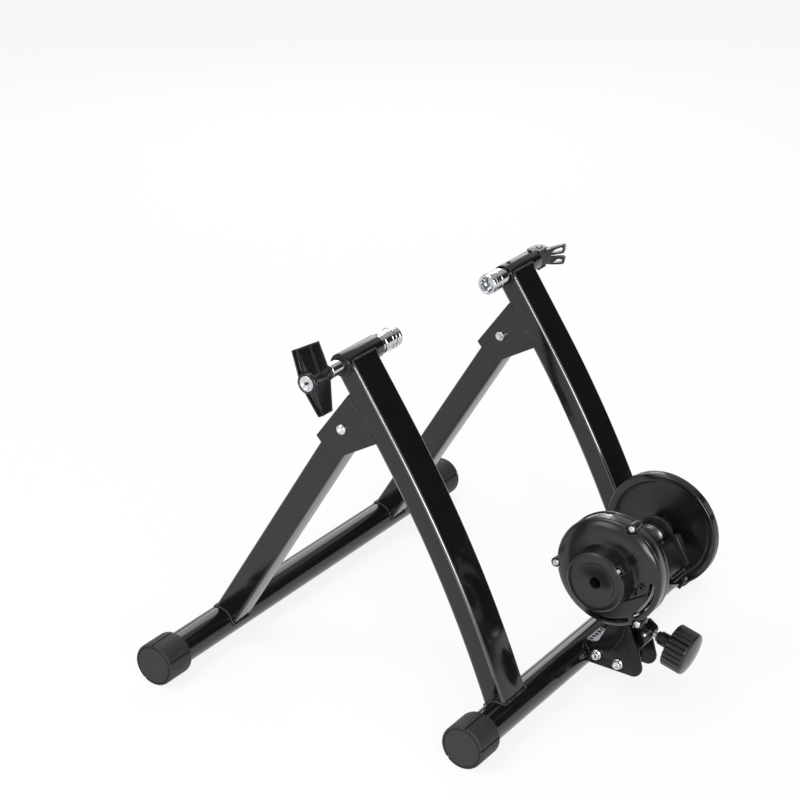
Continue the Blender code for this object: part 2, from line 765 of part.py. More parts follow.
def right_lever():
    """Cam hub and forked, windowed arm, extruded along the pin and then cut open."""
    along = Vector((math.sin(LEVER_ANGLE), math.cos(LEVER_ANGLE)))
    across = Vector((along.y, -along.x))
    tip = along * LEVER_REACH
    cam = cam_profile()
    arm = [
        along * 0.004 - across * LEVER_ROOT_HALF,
        tip - across * LEVER_TIP_HALF - along * 0.002,
        tip - across * (LEVER_TIP_HALF - 0.002),
        tip + across * (LEVER_TIP_HALF - 0.002),
        tip + across * LEVER_TIP_HALF - along * 0.002,
        along * 0.004 + across * LEVER_ROOT_HALF,
    ]
    half = LEVER_HALF_HEIGHT
    lever = prism("right_lever", cam + arm, -half, half, "black_paint", "Z")
    near, far = LEVER_WINDOW
    reach = 2 * CAM_HIGH
    window = box("lever_window", 2 * LEVER_WINDOW_HALF, far - near, 4 * half)
    fork = box("lever_fork", 2 * reach, far - near + 0.003, 2 * LEVER_FORK_HALF)
    for cutter in (window, fork):
        cutter.rotation_euler = (0, 0, -LEVER_ANGLE)
        middle = along * (near + far) / 2
        moved(cutter, middle.x, middle.y, 0)
    pin = rod("pin_hole", LEVER_PIN_RADIUS + GAP, -2 * half, 2 * half, axis="Z")
    return cut(lever, window, fork, pin)


def lever_yoke():
    """Bent bracket on the barrel's outer end, in the frame of the lever pin."""
    inner = LEVER_HALF_HEIGHT + GAP
    outer = inner + YOKE_PLATE
    base = RIGHT_BARREL[1] + GAP - LEVER_PIN_Y
    half = YOKE_HALF_WIDTH
    nose = [(x, y) for x, y in arc((0, 0), half, 0, 180, 10)]
    outline = [(-half, base), (half, base)] + nose
    yoke = prism("lever_yoke", outline, -outer, outer, "black_paint", "Z")
    room = box("lever_room", 6 * half, 6 * half, 2 * inner)
    moved(room, 0, base + YOKE_PLATE + 3 * half, 0)
    spindle_way = rod("spindle_way", SPINDLE_RADIUS + GAP, base - 0.01, base + 0.01, sides=MEDIUM)
    pin = rod("pin_hole", LEVER_PIN_RADIUS + GAP, -2 * outer, 2 * outer, axis="Z")
    return cut(yoke, room, spindle_way, pin)


def lever_pin():
    seat = LEVER_HALF_HEIGHT + GAP + YOKE_PLATE + GAP
    end = seat + LEVER_PIN_HEAD_HEIGHT
    profile = [
        (0, end),
        (LEVER_PIN_HEAD, end),
        (LEVER_PIN_HEAD, seat),
        (LEVER_PIN_RADIUS, seat),
        (LEVER_PIN_RADIUS, -seat),
        (LEVER_PIN_HEAD, -seat),
        (LEVER_PIN_HEAD, -end),
        (0, -end),
    ]
    return turned("lever_pin", profile, "zinc", "Z", SMALL)


def rear_tube_cope(reach):
    return hole(TUBE_RADIUS + GAP, (REAR_TUBE_X, TUBE_HEIGHT), -reach, reach, WIDE)


def mount_plate(name, side):
    """Side plate with two pressed ribs. Its outer face is at y = 0 and its rear lobe hangs low."""
    lobe_x, lobe_z = PLATE_LOBE
    front = REAR_TUBE_X + TUBE_RADIUS - 0.004
    outline = [(front, TUBE_HEIGHT - 0.0068)]
    outline += arc(PLATE_LOBE, PLATE_LOBE_RADIUS, -100, 12, 8)
    outline += [
        (lobe_x + 0.0072, lobe_z + 0.0191),
        (lobe_x + 0.0002, lobe_z + 0.0350),
        (lobe_x - 0.0045, PLATE_TOP - 0.0040),
        (lobe_x - 0.0085, PLATE_TOP),
        (FRONT_BOLT[0] + 0.0180, PLATE_TOP),
        (FRONT_BOLT[0] + 0.0125, PLATE_TOP - 0.0095),
        (FRONT_BOLT[0] + 0.0022, PLATE_TOP - 0.0307),
        (front, TUBE_HEIGHT + 0.0130),
    ]
    plate = prism(name, outline, 0, PLATE_WALL, "black_paint")
    for point in (FRONT_BOLT, PIVOT):
        cut(plate, hole(MOUNT_BOLT_RADIUS + GAP, point, -0.01, 0.01))
    cut(plate, rear_tube_cope(TUBE_RADIUS))
    ribs = (
        ((PIVOT[0] + 0.0060, PLATE_TOP - 0.0060), (FRONT_BOLT[0] + 0.0120, PIVOT[1] + 0.0065)),
        ((lobe_x - 0.0020, PLATE_TOP - 0.0140), (lobe_x - 0.0062, lobe_z + 0.0005)),
    )
    for top, low in ribs:
        add(plate, pressed_rib(top, low))
    if side > 0:
        plate.scale.y = -1
    return moved(plate, 0, side * PLATE_HALF_SPAN, 0)


def pressed_rib(top, low):
    """Half-round ridge on a plate's outer face, between two points of the XZ plane."""
    way = Vector(low) - Vector(top)
    radius = PLATE_RIB_RADIUS
    profile = [(0, -radius), (radius, 0), (radius, way.length), (0, way.length + radius)]
    rib = turned("rib", profile, None, "X", 10)
    rib.rotation_euler = (0, -math.atan2(way.y, way.x), 0)
    return moved(rib, top[0], PLATE_RIB_SINK, top[1])


def mount_lug():
    """Channel welded behind the rear tube. Its cheeks carry both bolts and end in trunnion ears."""
    outer = PLATE_HALF_SPAN - PLATE_WALL - GAP
    inner = outer - LUG_WALL
    web = REAR_TUBE_X + TUBE_RADIUS + GAP + LUG_WEB
    front = REAR_TUBE_X + 0.0125
    top = TUBE_HEIGHT + LUG_TOP
    ear_x, ear_z = TRUNNION
    outline = [(front, top), (web + 0.0030, top), (PIVOT[0] - 0.004, PIVOT[1] + 0.030)]
    outline += [(ear_x - 0.0140, ear_z + 0.0100), (ear_x - 0.0040, ear_z + 0.0205)]
    outline += [(ear_x + 0.0070, ear_z + 0.0262), (ear_x + 0.0118, ear_z + 0.0215)]
    outline += arc(TRUNNION, EAR_RADIUS, 5, -100, 7)
    outline += arc(PIVOT, PIVOT_BOSS_RADIUS + 0.0005, 20, -80, 6)
    outline += [(web - 0.001, TUBE_HEIGHT - 0.0080)]
    lug = prism("mount_lug", outline, -outer, outer, "black_paint")
    room = box("lug_room", 0.2, 2 * inner, 0.3)
    cut(lug, moved(room, web + 0.1, 0, 0.05), rear_tube_cope(TUBE_RADIUS * 2))
    for point, radius in (
        (FRONT_BOLT, MOUNT_BOLT_RADIUS),
        (PIVOT, MOUNT_BOLT_RADIUS),
        (TRUNNION, TRUNNION_END_RADIUS),
    ):
        cut(lug, hole(radius + GAP, point, -0.03, 0.03))
    return lug


def mount_strip():
    """Perforated strip on top of the lug's front corners."""
    strip = box("mount_strip", STRIP_DEPTH, STRIP_LENGTH, STRIP_THICKNESS, "zinc")
    pitch = STRIP_LENGTH / STRIP_HOLES
    for i in range(STRIP_HOLES):
        window = box("strip_hole", STRIP_HOLE, STRIP_HOLE, 4 * STRIP_THICKNESS)
        cut(strip, moved(window, 0, pitch * (i - (STRIP_HOLES - 1) / 2), 0))
    x = REAR_TUBE_X + 0.0125 + STRIP_DEPTH / 2
    return moved(strip, x, 0, TUBE_HEIGHT + LUG_TOP + GAP + STRIP_THICKNESS / 2)


def mount_bolt(name, point):
    seat = PLATE_HALF_SPAN + GAP
    bolt = flange_bolt(name, MOUNT_BOLT_RADIUS, 2 * seat, FOLD_NUT_HEIGHT + 0.002)
    return moved(bolt, point[0], -seat, point[1])


def mount_nut(name, point):
    piece = nut(name, BOLT_FLATS, FOLD_NUT_HEIGHT, MOUNT_BOLT_RADIUS + GAP)
    return moved(piece, point[0], PLATE_HALF_SPAN + GAP, point[1])


def trunnion():
    """Cross pin in the lug's ears, with the screw's threaded hole through its middle."""
    room = PLATE_HALF_SPAN - PLATE_WALL - GAP - LUG_WALL - GAP
    seat = PLATE_HALF_SPAN - PLATE_WALL
    end = seat + TRUNNION_HEAD
    profile = [
        (0, -end),
        (TRUNNION_HEAD_RADIUS, -end),
        (TRUNNION_HEAD_RADIUS, -seat),
        (TRUNNION_END_RADIUS, -seat),
        (TRUNNION_END_RADIUS, -room),
        (TRUNNION_RADIUS, -room),
        (TRUNNION_RADIUS, room),
        (TRUNNION_END_RADIUS, room),
        (TRUNNION_END_RADIUS, seat),
        (TRUNNION_HEAD_RADIUS, seat),
        (TRUNNION_HEAD_RADIUS, end),
        (0, end),
    ]
    piece = turned("trunnion", profile, "black_paint", sides=SMALL)
    bore = rod("screw_hole", SCREW_RADIUS + GAP, -0.02, 0.02, axis="X")
    bore.rotation_euler = (0, SCREW_SLOPE, 0)
    return moved(cut(piece, bore), TRUNNION[0], 0, TRUNNION[1])


def screw_tip():
    """Round-nosed cap on the screw's end, in the frame of the screw, whose +X points to the knob."""
    face = -SCREW_TIP
    back = face + TIP_LENGTH
    floor = face + TIP_FLOOR
    bore = SCREW_RADIUS + GAP
    reach = math.degrees(math.asin(TIP_RADIUS / TIP_NOSE_RADIUS))
    nose = arc((0, -face - TIP_NOSE_RADIUS), TIP_NOSE_RADIUS, 90, 90 - reach, 6)
    profile = [(radius, -along) for radius, along in nose]
    profile[0] = (0, face)
    profile += [(TIP_RADIUS, back), (bore, back), (bore, floor), (0, floor)]
    return turned("screw_tip", profile, "zinc", "X", SMALL)


def tension_screw():
    start = -SCREW_TIP + TIP_FLOOR + GAP
    end = KNOB_NECK_START + KNOB_SOCKET - GAP
    return rod("tension_screw", SCREW_RADIUS, start, end, "zinc", "X")


def fluted(radius, depth, count):
    """Outline with rounded flutes, each drawn by count points."""
    total = KNOB_FLUTES * count
    points = []
    for i in range(total):
        angle = math.tau * i / total
        wave = abs(math.cos(angle * KNOB_FLUTES / 2))
        distance = radius - depth * (1 - wave) ** 1.4
        points.append((distance * math.cos(angle), distance * math.sin(angle)))
    return points


def knob():
    """Neck, fluted grip and domed end, with a blind socket for the screw."""
    count = 4
    total = KNOB_FLUTES * count
    neck_end = KNOB_NECK_START + KNOB_NECK_LENGTH
    grip_end = neck_end + KNOB_GRIP
    rim = KNOB_RADIUS
    sections = [
        (KNOB_NECK_START, circle(KNOB_NECK_RADIUS, total)),
        (neck_end, circle(KNOB_NECK_RADIUS, total)),
        (neck_end, fluted(rim, KNOB_FLUTE_DEPTH, count)),
        (grip_end - 0.0012, fluted(rim, KNOB_FLUTE_DEPTH, count)),
        (grip_end, fluted(rim - 0.0012, KNOB_FLUTE_DEPTH, count)),
        (grip_end + KNOB_DOME * 0.55, circle(rim * 0.74, total)),
        (KNOB_END, circle(rim * 0.36, total)),
    ]
    piece = stacked("knob", sections, "gloss_plastic", "X")
    socket = SCREW_RADIUS + GAP
    bore = rod("screw_socket", socket, 0, KNOB_NECK_START + KNOB_SOCKET, axis="X")
    return cut(piece, bore)


def neck_point(along, up):
    """Point in the XZ plane measured from the pivot: along the screw's way and square to it."""
    return Vector(PIVOT) + SCREW_WAY * along + SCREW_UP * up


def cradle():
    """Bent sheet cradle: channel neck on the pivot, inclined web plate, and an arm at each end."""
    wall = (Vector(TRUNNION) - Vector(PIVOT)).dot(SCREW_WAY) - SCREW_TIP - GAP
    front = wall - NECK_DEPTH
    top, low = Vector(WEB_TOP), Vector(WEB_BOTTOM)
    down = (low - top).normalized()
    inward = Vector((down.y, -down.x)) * WEB_THICKNESS
    seat_out, seat_up = NECK_SEAT
    lip_out, lip_up = NECK_LIP
    outline = [neck_point(front, NECK_SHOULDER), neck_point(front, NECK_FRONT_TOP)]
    outline += [neck_point(wall - NECK_CROWN_SET, NECK_CROWN), neck_point(wall + seat_out, seat_up)]
    outline += [neck_point(wall + lip_out, lip_up), neck_point(wall, NECK_REAR_TOP)]
    outline += [neck_point(wall, NECK_FOOT)]
    boss = arc((0, 0), PIVOT_BOSS_RADIUS, 62, -242, 16)
    outline += [neck_point(x, z) for x, z in boss]
    outer = NECK_HALF_WIDTH
    inner = outer - NECK_WALL
    neck = prism("cradle", outline, -outer, outer, "black_paint")
    reach = 2 * NECK_SHOULDER
    pocket = [
        neck_point(wall - NECK_WALL, -reach),
        neck_point(wall - NECK_WALL, NECK_INSIDE_TOP),
        neck_point(front - reach, NECK_INSIDE_TOP),
        neck_point(front - reach, -reach),
    ]
    foot_gap = [neck_point(wall - reach, NECK_OPEN_BELOW), neck_point(wall + reach, NECK_OPEN_BELOW)]
    foot_gap += [neck_point(wall + reach, -reach), neck_point(wall - reach, -reach)]
    cut(neck, prism("neck_room", pocket, -inner, inner), prism("foot_room", foot_gap, -inner, inner))
    cut(neck, hole(MOUNT_BOLT_RADIUS + GAP, PIVOT, -reach, reach))
    web = [top, low, low + inward, top + inward]
    add(neck, prism("web_plate", web, -WEB_HALF_WIDTH, WEB_HALF_WIDTH))
    rear, end = -inward * ARM_PROUD, down * ARM_PROUD * WEB_THICKNESS
    arm = arc(ROLLER_AXIS, ARM_RADIUS, 60, 260, 10)
    arm += [low + end + inward * 2, low + end + rear, top + rear]
    for side in (-1, 1):
        low_y, high_y = sorted((side * ARM_INNER, side * (ARM_INNER + ARM_WALL)))
        add(neck, prism("arm", arm, low_y, high_y))
    reach = 2 * ARM_INNER
    cut(neck, hole(BEARING_RADIUS + GAP, ROLLER_AXIS, -reach, reach, MEDIUM))
    return neck


def bearing(name, side):
    middle = side * (ARM_INNER + ARM_WALL / 2)
    half = BEARING_WIDTH / 2
    return pipe(name, BEARING_RADIUS, SHAFT_RADIUS + GAP, middle - half, middle + half, "bare_steel")


def roller():
    bore = SHAFT_RADIUS + GAP
    end, body = ROLLER_HALF, ROLLER_RADIUS
    profile = [
        (bore, -end),
        (body - 0.0028, -end),
        (body - 0.0028, -end + 0.0030),
        (body, -end + 0.0042),
        (body, end - 0.0042),
        (body - 0.0028, end - 0.0030),
        (body - 0.0028, end),
        (bore, end),
    ]
    return turned("roller", profile, "bare_steel", sides=MEDIUM)


def brake_rotor():
    """Steel drum that turns between the magnets and the back plate."""
    bore = SHAFT_RADIUS + GAP
    back = -(ARM_INNER + ARM_WALL / 2 + BEARING_WIDTH / 2) - GAP
    face = ROTOR_FACE
    profile = [
        (bore, back),
        (ROTOR_HUB_RADIUS, back),
        (ROTOR_HUB_RADIUS, face + ROTOR_THICKNESS),
        (ROTOR_RADIUS - ROTOR_RIM, face + ROTOR_THICKNESS),
        (ROTOR_RADIUS - ROTOR_RIM, ROTOR_RIM_END),
        (ROTOR_RADIUS, ROTOR_RIM_END),
        (ROTOR_RADIUS, face - 0.002),
        (ROTOR_RADIUS - 0.004, face - 0.002),
        (ROTOR_RADIUS - 0.006, face),
        (ROTOR_HUB_RADIUS, face),
        (ROTOR_HUB_RADIUS, face - 0.004),
        (bore, face - 0.004),
    ]
    return turned("brake_rotor", profile, "bare_steel", sides=WIDE)


def brake_backplate():
    back = -(ARM_INNER + ARM_WALL) - GAP
    front = back - BACKPLATE_THICKNESS
    edge = COVER_RADIUS - COVER_WALL - GAP
    return pipe("brake_backplate", edge, BEARING_RADIUS + GAP, front, back, "zinc", LARGE)


def magnet_plate():
    """Ring that carries the magnets and turns on the cover's spigot."""
    low, high = MAGNET_PLATE_FACES
    bore = SPIGOT_RADIUS + GAP
    profile = [
        (bore, low - 0.006),
        (bore + 0.003, low - 0.006),
        (bore + 0.003, low),
        (MAGNET_PLATE_RADIUS, low),
        (MAGNET_PLATE_RADIUS, high),
        (bore, high),
    ]
    return turned("magnet_plate", profile, "bare_steel", sides=WIDE)


def sector(inner, outer, start, end, steps=4):
    """Outline of a ring's sector, in degrees."""
    centre = (0, 0)
    return arc(centre, outer, start, end, steps) + arc(centre, inner, end, start, steps)


def arc_slot(radius, width, start, end):
    """Outline of a curved slot with round ends, in degrees."""
    outline = arc((0, 0), radius + width / 2, start, end, 6)
    for angle, turn in ((end, 0), (start, 180)):
        a = math.radians(angle)
        centre = (radius * math.cos(a), radius * math.sin(a))
        outline += arc(centre, width / 2, angle + turn, angle + turn + 180, 4)[1:-1]
        if turn == 0:
            outline += arc((0, 0), radius - width / 2, end, start, 6)
    return outline


def brake_cover():
    """Moulded cover: a dished cup with a tall hollow boss, screw ears, two arc slots and a cable rib.

    Its local origin is on the roller's axis."""
    outer, wall = COVER_RADIUS, COVER_WALL
    boss, face, crown, edge = BOSS_RADIUS, BOSS_FACE, COVER_CROWN, COVER_EDGE
    inner = boss - wall
    profile = [
        (outer, COVER_BACK),
        (outer, edge + 0.0015),
        (outer - 0.0026, edge - 0.0024),
        (outer - 0.0120, edge - 0.0052),
        (outer - 0.0230, crown),
        (boss, crown),
        (boss, face + 0.0012),
        (boss - 0.0012, face),
        (BOSS_HOLE_RADIUS, face),
        (BOSS_HOLE_RADIUS, MAGNET_PLATE_FACES[1] - 0.0005),
        (SPIGOT_RADIUS, MAGNET_PLATE_FACES[1] - 0.0005),
        (SPIGOT_RADIUS, face + wall),
        (inner, face + wall),
        (inner, crown + wall),
        (outer - wall, edge + wall - 0.0010),
        (outer - wall, COVER_BACK),
    ]
    cover = turned("brake_cover", profile, "gloss_plastic", sides=LARGE)
    for i in range(COVER_EARS):
        angle = COVER_FIRST_EAR + math.tau * i / COVER_EARS
        reach = outer - 0.0008
        ear = rod("cover_ear", COVER_EAR_RADIUS, edge - 0.0016, edge + 0.006, sides=12)
        add(cover, moved(ear, reach * math.cos(angle), 0, reach * math.sin(angle)))
    rib = box("cable_rib", 0.0195, 0.0120, 0.0130)
    angle = math.radians(-7)
    rib.rotation_euler = (0, -angle, 0)
    add(cover, moved(rib, 0.0405 * math.cos(angle), crown + 0.0010, 0.0405 * math.sin(angle)))
    tab = box("boss_tab", 0.0080, 0.0120, 0.0080)
    angle = math.radians(37)
    tab.rotation_euler = (0, -angle, 0)
    add(cover, moved(tab, 0.0310 * math.cos(angle), face + 0.0054, 0.0310 * math.sin(angle)))
    front = (crown - 0.01, edge + 0.012)
    cut(cover, prism("low_slot", arc_slot(0.0547, 0.0050, -110, -64), *front))
    cut(cover, prism("rear_slot", arc_slot(0.0530, 0.0050, -51, -14), *front))
    window = sector(outer - 0.006, outer + 0.006, 93, 131)
    cut(cover, prism("rotor_window", window, edge + 0.0015, COVER_BACK + 0.01))
    return cover


def flywheel():
    """Cast wheel with a hub, a thin web dished on both sides and a heavy rim."""
    bore = SHAFT_RADIUS + GAP
    hub_start = ARM_INNER + ARM_WALL / 2 + BEARING_WIDTH / 2 + GAP
    low, high = FLYWHEEL_RIM
    near, far = FLYWHEEL_WEB
    radius, hub = FLYWHEEL_RADIUS, FLYWHEEL_HUB_RADIUS
    inside = radius - FLYWHEEL_RIM_WIDTH
    profile = [
        (bore, hub_start),
        (hub - 0.002, hub_start),
        (hub, hub_start + 0.002),
        (hub, near),
        (inside - 0.002, near),
        (inside, low),
        (radius - 0.0014, low),
        (radius, low + 0.0012),
        (radius, high - 0.0012),
        (radius - 0.0014, high),
        (inside, high),
        (inside - 0.001, far),
        (bore, far),
    ]
    return turned("flywheel", profile, "black_paint", sides=LARGE)


def flywheel_nut():
    bore = SHAFT_RADIUS + GAP
    piece = nut("flywheel_nut", FLYWHEEL_NUT_FLATS, FLYWHEEL_NUT_HEIGHT, bore)
    return moved(piece, 0, FLYWHEEL_WEB[1] + GAP, 0)


def roller_shaft():
    return rod("roller_shaft", SHAFT_RADIUS, *SHAFT_ENDS, "bare_steel")


def wire_loop():
    """Bent wire that hangs under the cradle's web, an open loop with rounded corners."""
    low, top = Vector(WEB_BOTTOM), Vector(WEB_TOP)
    down = (low - top).normalized()
    start, end = LOOP_SPAN
    middle = low + Vector((down.y, -down.x)) * WEB_THICKNESS / 2
    bend = LOOP_BEND
    along = LOOP_REACH - bend
    path = [(start, GAP)]
    path += [(start + bend - bend * math.cos(a), along + bend * math.sin(a)) for a in quarter()]
    path += [(end - bend + bend * math.sin(a), along + bend * math.cos(a)) for a in quarter()]
    path += [(end, GAP)]
    curve = bpy.data.curves.new("wire_loop", "CURVE")
    curve.dimensions = "3D"
    curve.bevel_depth = LOOP_RADIUS
    curve.bevel_resolution = 1
    curve.use_fill_caps = True
    line = curve.splines.new("POLY")
    line.points.add(len(path) - 1)
    for point, (y, out) in zip(line.points, path):
        spot = middle + down * out
        point.co = (spot.x, y, spot.y, 1)
    curve.materials.append(make_material("wire_loop", "zinc"))
    loop = bpy.data.objects.new("wire_loop", curve)
    bpy.context.scene.collection.objects.link(loop)
    return loop


def quarter():
    return [math.radians(18 * i) for i in range(6)]


def build_stand(root):
    hang(root, foot_tube("rear_base_tube", REAR_HALF_WIDTH, REAR_TUBE_X))
    for word, side in (("left", -1), ("right", 1)):
        hang(
            root,
            foot_cap(f"rear_foot_cap_{word}", REAR_TUBE_X, REAR_HALF_WIDTH, side),
            upright(f"upright_{word}", side),
            gusset(f"gusset_{word}", side),
            fold_bolt(f"fold_bolt_{word}", side),
            fold_nut(f"fold_nut_{word}", side),
            mount_plate(f"mount_plate_{word}", side),
        )
    for word, ends in (("left", LEFT_BARREL), ("right", RIGHT_BARREL)):
        outer_end = max(ends, key=abs)
        inner_end = outer_end - math.copysign(BUSH_LENGTH, outer_end)
        tube = barrel(f"barrel_{word}", ends)
        bush = barrel_bush(f"bush_{word}", *sorted((outer_end, inner_end)))
        hang(root, moved(tube, 0, 0, AXLE_HEIGHT), moved(bush, 0, 0, AXLE_HEIGHT))
    hang(root, mount_lug(), mount_strip(), trunnion())
    for word, point in (("front", FRONT_BOLT), ("rear", PIVOT)):
        hang(root, mount_bolt(f"mount_bolt_{word}", point), mount_nut(f"mount_nut_{word}", point))


def build_front_legs(root):
    axis = empty("fold_axis", root, (FOLD_POINT.x, 0, FOLD_POINT.y))
    foot = Vector((FRONT_TUBE_X, TUBE_HEIGHT)) - FOLD_POINT
    tube = foot_tube("front_base_tube", FRONT_HALF_WIDTH, 0)
    tube.location = (foot.x, 0, foot.y)
    hang(axis, tube)
    for word, side in (("left", -1), ("right", 1)):
        cap = foot_cap(f"front_foot_cap_{word}", 0, FRONT_HALF_WIDTH, side)
        cap.location = (foot.x, side * FRONT_HALF_WIDTH, foot.y)
        hang(axis, cap, leg(f"leg_{word}", side), leg_bush(f"leg_bush_{word}", side))


def build_left_clamp(root):
    slide = empty("left_slide_axis", root, (0, 0, AXLE_HEIGHT))
    hang(slide, moved(axle_cup("left_cup"), 0, LEFT_BARREL[1]))
    neck_y = LEFT_BARREL[0] - HANDLE_OFFSET
    turn = empty("left_handle_axis", slide)
    handle, bolt = left_handle(), left_handle_bolt()
    handle.rotation_euler = (0, -HANDLE_TILT, 0)
    hang(turn, moved(handle, 0, neck_y), moved(bolt, 0, neck_y), left_spindle(neck_y))


def build_right_clamp(root):
    slide = empty("right_slide_axis", root, (0, 0, AXLE_HEIGHT))
    cup = axle_cup("right_cup")
    cup.rotation_euler = (0, 0, math.pi)
    start = RIGHT_BARREL[0] - spindle_inner_end()
    end = RIGHT_BARREL[1] + GAP + YOKE_PLATE
    hang(slide, moved(cup, 0, RIGHT_BARREL[0]))
    hang(slide, rod("right_spindle", SPINDLE_RADIUS, start, end, "chrome", sides=MEDIUM))
    pin = empty("lever_axis", root, (0, LEVER_PIN_Y, AXLE_HEIGHT))
    hang(pin, right_lever(), lever_yoke(), lever_pin())


def build_unit(root):
    tilt = empty("unit_axis", root)
    roller_axis = empty("roller_axis", tilt, (ROLLER_AXIS[0], 0, ROLLER_AXIS[1]))
    hang(tilt, cradle(), wire_loop())
    hang(roller_axis, bearing("bearing_left", -1), bearing("bearing_right", 1))
    hang(roller_axis, brake_backplate(), brake_cover(), magnet_plate())
    hang(roller_axis, roller_shaft(), roller(), brake_rotor(), flywheel(), flywheel_nut())


def build_adjuster(root):
    location = (TRUNNION[0], 0, TRUNNION[1])
    screw = empty("screw_axis", root, location, (0, SCREW_SLOPE, 0))
    hang(screw, screw_tip(), tension_screw(), knob())


def build():
    for old in list(bpy.context.scene.objects):
        bpy.data.objects.remove(old)
    root = empty("trainer", None, (MIDDLE_SHIFT, 0, 0))
    build_stand(root)
    build_front_legs(root)
    build_left_clamp(root)
    build_right_clamp(root)
    build_unit(root)
    build_adjuster(root)


build()
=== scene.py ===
# %% [markdown]
# # A folding bike trainer
#
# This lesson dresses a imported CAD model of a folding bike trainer: an A-frame stand of black painted
# tubes with a clamp at the top of each side, and a roller unit with a magnetic brake and a flywheel.
# The CAD solids hold the sizes and the joints. Here every part gets the shape, edges and finish that
# light shows on the real one, and rides on the CAD body that moves it.

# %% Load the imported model
import json
import math

import bmesh
import bpy
from mathutils import Matrix, Vector


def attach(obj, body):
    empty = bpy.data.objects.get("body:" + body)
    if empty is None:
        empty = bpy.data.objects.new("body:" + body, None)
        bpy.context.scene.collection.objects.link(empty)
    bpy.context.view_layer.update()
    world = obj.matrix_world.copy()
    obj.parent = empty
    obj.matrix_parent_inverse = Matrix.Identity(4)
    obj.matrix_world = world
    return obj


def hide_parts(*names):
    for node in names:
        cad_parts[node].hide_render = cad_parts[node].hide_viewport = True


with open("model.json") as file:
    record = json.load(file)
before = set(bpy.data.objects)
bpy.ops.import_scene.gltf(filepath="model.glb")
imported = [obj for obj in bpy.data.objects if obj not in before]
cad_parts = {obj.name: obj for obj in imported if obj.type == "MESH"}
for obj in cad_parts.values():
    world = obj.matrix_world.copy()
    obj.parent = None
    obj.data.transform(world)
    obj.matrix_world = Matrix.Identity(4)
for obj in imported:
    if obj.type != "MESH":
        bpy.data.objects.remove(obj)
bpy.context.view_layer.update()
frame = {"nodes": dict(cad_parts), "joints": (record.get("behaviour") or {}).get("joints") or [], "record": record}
joints = {joint["name"]: joint for joint in frame["joints"]}
print("CAD nodes:", len(frame["nodes"]), "joints:", len(joints))

# %% [markdown]
# ## Places
#
# Most sizes are easier to write from the line through both clamps than from the middle of the floor.
# `X0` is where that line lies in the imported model, so every place is written as X and Z from there.
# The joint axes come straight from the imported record, so a piece that turns sits exactly on its axis.
# Outlines hold many small numbers, so they are written in millimetres, and `mm` makes metres of them.

# %% The clamp line and the joint axes
X0 = joints["lever_swing"]["pos_m"][0]


def axis_of(name):
    """X and Z of a joint's axis, with X measured from the clamp line."""
    x, _, z = joints[name]["pos_m"]
    return Vector((x - X0, z))


CLAMP = axis_of("lever_swing")
FOLD, PIVOT, ROLLER = (axis_of(name) for name in ("legs_fold", "unit_tilt", "roller_spin"))
FRONT_TUBE = Vector((-0.178, 0.0245))
REAR_TUBE = Vector((0.1925, 0.0245))
TUBE_RADIUS = 0.0185  # of both feet
TUBE_SADDLE = 0.0181  # radius of the cut by which a tube's end sits on a round tube
UPRIGHT_Y = 0.1625  # from the middle of the trainer to an upright's middle
BOLT_HOLE = 0.0033  # radius of a hole for a 6 mm bolt
LEAN = math.radians(33.7)  # of the uprights, from vertical
DOWN = Vector((math.sin(LEAN), -math.cos(LEAN)))
REARWARD = Vector((math.cos(LEAN), math.sin(LEAN)))


def across(point, y=0.0):
    """Moves a shape made on the origin to a point of the XZ plane, y to the right of the middle."""
    return Matrix.Translation((point[0] + X0, y, point[1]))


def mm(points):
    """Makes metres of points written in millimetres."""
    return [tuple(value / 1000 for value in point) for point in points]


def rectangle(left, low, right, high):
    """Corners of a rectangle in the XZ plane."""
    return [(left, low), (right, low), (right, high), (left, high)]


def polar(radius, degrees):
    """A point of the XZ plane, by its distance and direction from the origin."""
    angle = math.radians(degrees)
    return radius * math.cos(angle), radius * math.sin(angle)


def arc(centre, radius, start, end, steps=14):
    """Points of an arc in the XZ plane, from one angle to another in degrees."""
    spots = [polar(radius, start + (end - start) * i / steps) for i in range(steps + 1)]
    return [(centre[0] + x, centre[1] + z) for x, z in spots]


print("fold", FOLD, "pivot", PIVOT, "roller", ROLLER)

# %% [markdown]
# ## Camera, light and floor
#
# The camera stands 2.5 m away, 33 degrees round from the left side and 23 degrees above the floor,
# with a long lens. Black paint shows little but reflections, so the light is large and pale: a white
# floor, a soft world that is dim at the far right, and five soft lamps. The bright line down each
# upright is the long edge lamp, seen in the tube's round corner.

# %% Camera
camera_data = bpy.data.cameras.new("camera")
camera_data.sensor_width = 36
camera_data.lens = 99
camera_data.clip_end = 100
camera = bpy.data.objects.new("camera", camera_data)
camera.location = (1.1984 + X0, -1.9081, 1.2224)
camera.rotation_euler = (math.radians(90 - 22.80), 0, math.radians(33.21))
bpy.context.scene.collection.objects.link(camera)
bpy.context.scene.camera = camera
bpy.context.scene.view_settings.view_transform = "Standard"


# %% A helper for shader nodes
def shader(tree, kind, inputs=None, **settings):
    """Adds a node. An input is set to a value, or linked where it is given another node's socket."""
    node = tree.nodes.new("ShaderNode" + kind)
    for name, value in settings.items():
        setattr(node, name, value)
    for name, value in (inputs or {}).items():
        if isinstance(value, bpy.types.NodeSocket):
            tree.links.new(value, node.inputs[name])
        else:
            node.inputs[name].default_value = value
    return node


